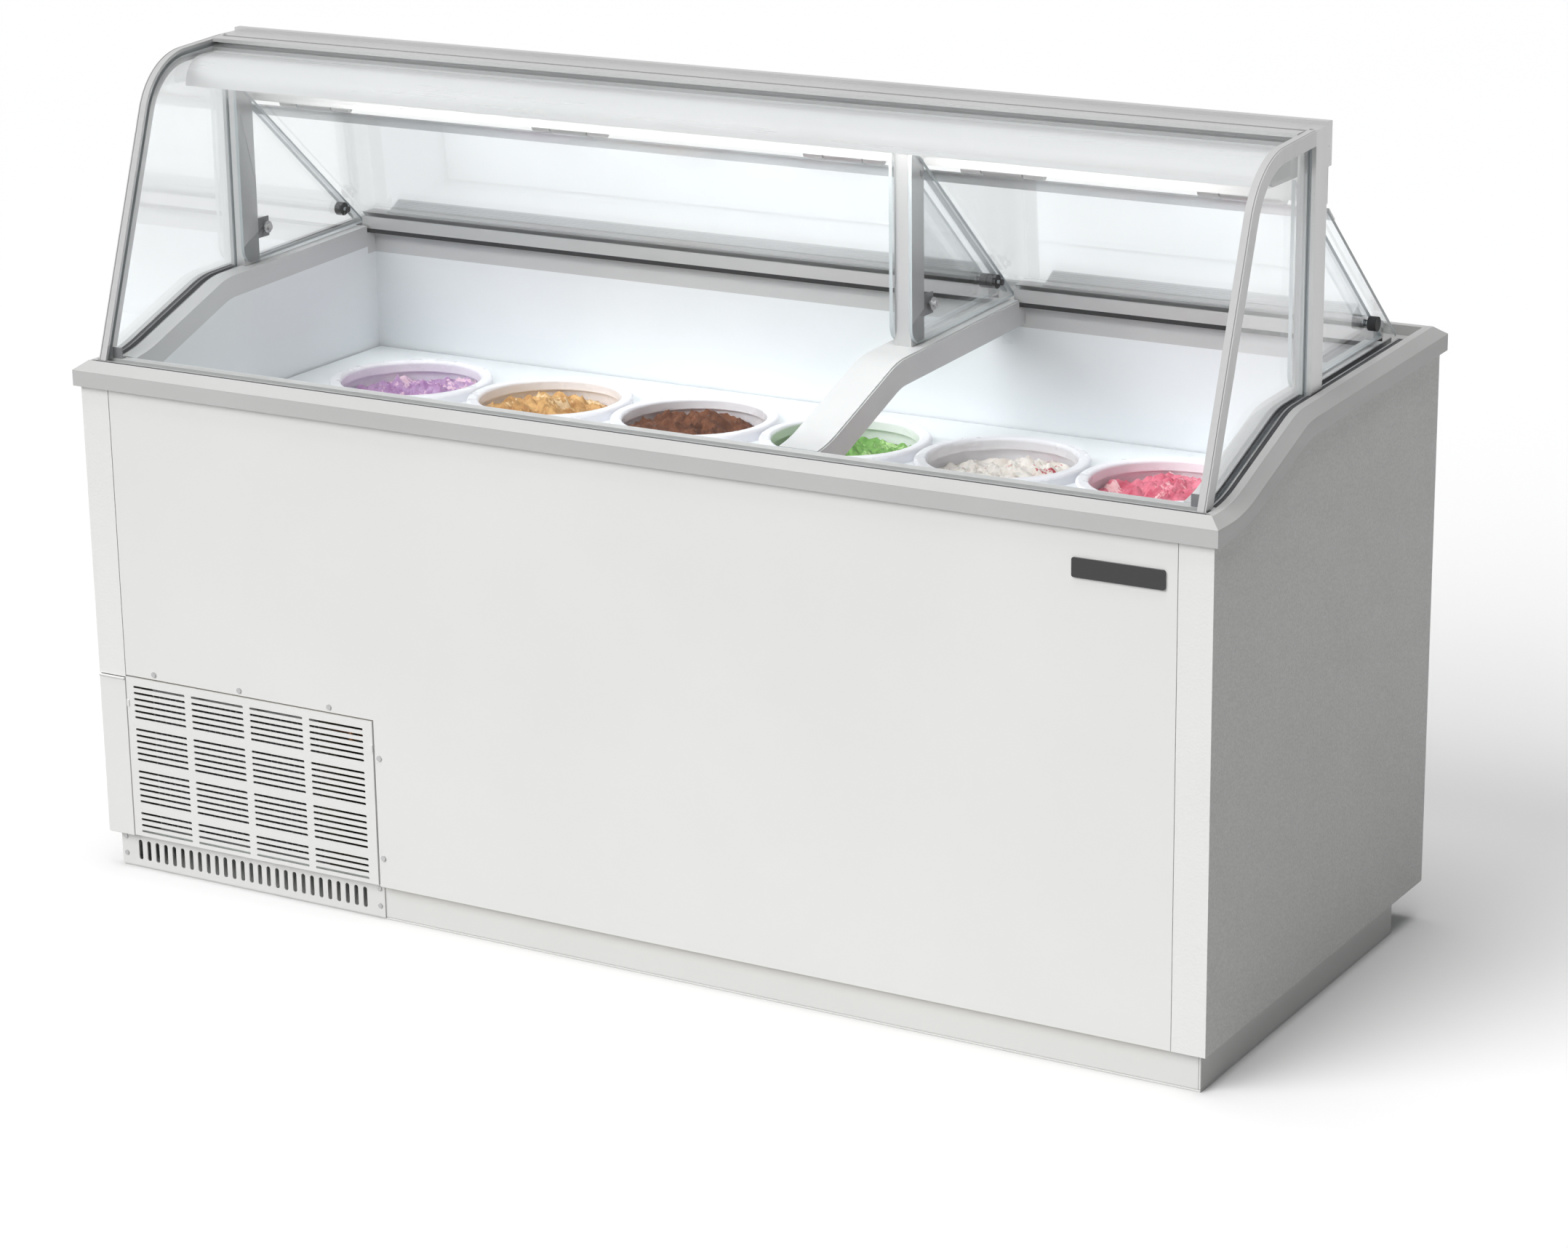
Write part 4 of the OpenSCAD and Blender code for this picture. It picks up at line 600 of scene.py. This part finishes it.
class CABINET_OT_stage(bpy.types.Operator):
    """Floor, soft studio light and camera"""
    bl_idname = "cabinet.stage"
    bl_label = "Stage"

    def execute(self, context):
        scene = context.scene
        bm = bmesh.new()
        bmesh.ops.create_grid(bm, x_segments=1, y_segments=1, size=FLOOR_HALF)
        mesh = bpy.data.meshes.new("floor")
        bm.to_mesh(mesh)
        bm.free()
        floor = bpy.data.objects.new("floor", mesh)
        scene.collection.objects.link(floor)
        mesh.materials.append(self.paper())
        world = bpy.data.worlds.new("studio")
        world.use_nodes = True
        sky = world.node_tree.nodes["Background"]
        sky.inputs["Color"].default_value = (1, 1, 1, 1)
        self.levels(world.node_tree, sky)
        scene.world = world
        self.lamp(scene, "key", (-0.40, -0.73, 0.55), 2.55, 45.0)
        self.lamp(scene, "top", (0.0, -0.05, 1.0), 1.75, 40.0)
        self.camera(scene)
        scene.view_settings.view_transform = "Standard"
        scene.view_settings.look = "None"
        return {"FINISHED"}

    def paper(self):
        """Pale floor that throws less light back up than it shows."""
        mat = finish("Pale floor", (0.93, 0.93, 0.93), 0.7, grain=3.0, depth=0.01, vary=0.005,
                     rough_vary=0.02, blotch=0.3)
        tree = mat.node_tree
        out = next(n for n in tree.nodes if n.type == "OUTPUT_MATERIAL")
        dim = tree.nodes.new("ShaderNodeBsdfDiffuse")
        dim.inputs["Color"].default_value = (0.36, 0.36, 0.36, 1.0)
        path = tree.nodes.new("ShaderNodeLightPath")
        mix = tree.nodes.new("ShaderNodeMixShader")
        tree.links.new(path.outputs["Is Diffuse Ray"], mix.inputs["Fac"])
        tree.links.new(out.inputs["Surface"].links[0].from_socket, mix.inputs[1])
        tree.links.new(dim.outputs["BSDF"], mix.inputs[2])
        tree.links.new(mix.outputs["Shader"], out.inputs["Surface"])
        return mat

    def levels(self, tree, sky):
        """A white surround for the eye and for gloss, and a weaker one for diffuse light."""
        path = tree.nodes.new("ShaderNodeLightPath")
        diffuse_level = 0.1
        rays = (("Is Camera Ray", 0.9), ("Is Transmission Ray", 0.9), ("Is Glossy Ray", 0.6))
        last = None
        for ray, amount in rays:
            node = tree.nodes.new("ShaderNodeMath")
            node.operation = "MULTIPLY_ADD"
            node.inputs[1].default_value = amount
            node.inputs[2].default_value = diffuse_level
            tree.links.new(path.outputs[ray], node.inputs[0])
            if last:
                top = tree.nodes.new("ShaderNodeMath")
                top.operation = "MAXIMUM"
                tree.links.new(last, top.inputs[0])
                tree.links.new(node.outputs[0], top.inputs[1])
                node = top
            last = node.outputs[0]
        tree.links.new(last, sky.inputs["Strength"])

    def lamp(self, scene, name, towards, power, spread):
        """A soft lamp that shines from a direction, with its spread in degrees."""
        data = bpy.data.lights.new(name, "SUN")
        data.energy = power
        data.angle = math.radians(spread)
        obj = bpy.data.objects.new(name, data)
        obj.location = (0, 0, LAMP_HEIGHT)
        obj.rotation_mode = "QUATERNION"
        obj.rotation_quaternion = Vector(towards).to_track_quat("Z", "Y")
        obj.visible_glossy = False
        scene.collection.objects.link(obj)

    def camera(self, scene):
        """A long lens, turned by yaw, pitch and roll."""
        yaw, pitch, roll = (math.radians(a) for a in CAMERA_TURN)
        data = bpy.data.cameras.new("camera")
        data.lens = CAMERA_LENS
        data.sensor_width = 36.0
        data.clip_start = 0.05
        data.clip_end = 100.0
        obj = bpy.data.objects.new("camera", data)
        obj.location = CAMERA_PLACE
        level = math.cos(pitch)
        ahead = Vector((-math.sin(yaw) * level, math.cos(yaw) * level, -math.sin(pitch)))
        turn = ahead.to_track_quat("-Z", "Y").to_matrix() @ Matrix.Rotation(roll, 3, "Z")
        obj.rotation_mode = "QUATERNION"
        obj.rotation_quaternion = turn.to_quaternion()
        scene.collection.objects.link(obj)
        scene.camera = obj


PIECES = (CABINET_OT_sheets, CABINET_OT_rails, CABINET_OT_glass_house, CABINET_OT_canopy,
          CABINET_OT_wings, CABINET_OT_lids, CABINET_OT_well, CABINET_OT_ice_cream,
          CABINET_OT_machine, CABINET_OT_fixings, CABINET_OT_stage)


class CABINET_PT_panel(bpy.types.Panel):
    """Lists the pieces of the cabinet"""
    bl_idname = "CABINET_PT_panel"
    bl_label = "Dipping Cabinet"
    bl_space_type = "VIEW_3D"
    bl_region_type = "UI"
    bl_category = "Dipping Cabinet"

    def draw(self, context):
        col = self.layout.column()
        for op in PIECES:
            col.operator(op.bl_idname)
        for group in (context.scene.cabinet_colours, context.scene.cabinet_sizes):
            for key in group.__annotations__:
                col.prop(group, key)


CLASSES = (CabinetColours, CabinetSizes, *PIECES, CABINET_PT_panel)


def register():
    for cls in CLASSES:
        bpy.utils.register_class(cls)
    bpy.types.Scene.cabinet_colours = PointerProperty(type=CabinetColours)
    bpy.types.Scene.cabinet_sizes = PointerProperty(type=CabinetSizes)


def unregister():
    del bpy.types.Scene.cabinet_sizes
    del bpy.types.Scene.cabinet_colours
    for cls in reversed(CLASSES):
        bpy.utils.unregister_class(cls)


def main():
    register()
    for op in PIECES:
        getattr(bpy.ops.cabinet, op.bl_idname.split(".")[1])()
    bpy.context.view_layer.update()


if __name__ == "__main__":
    main()
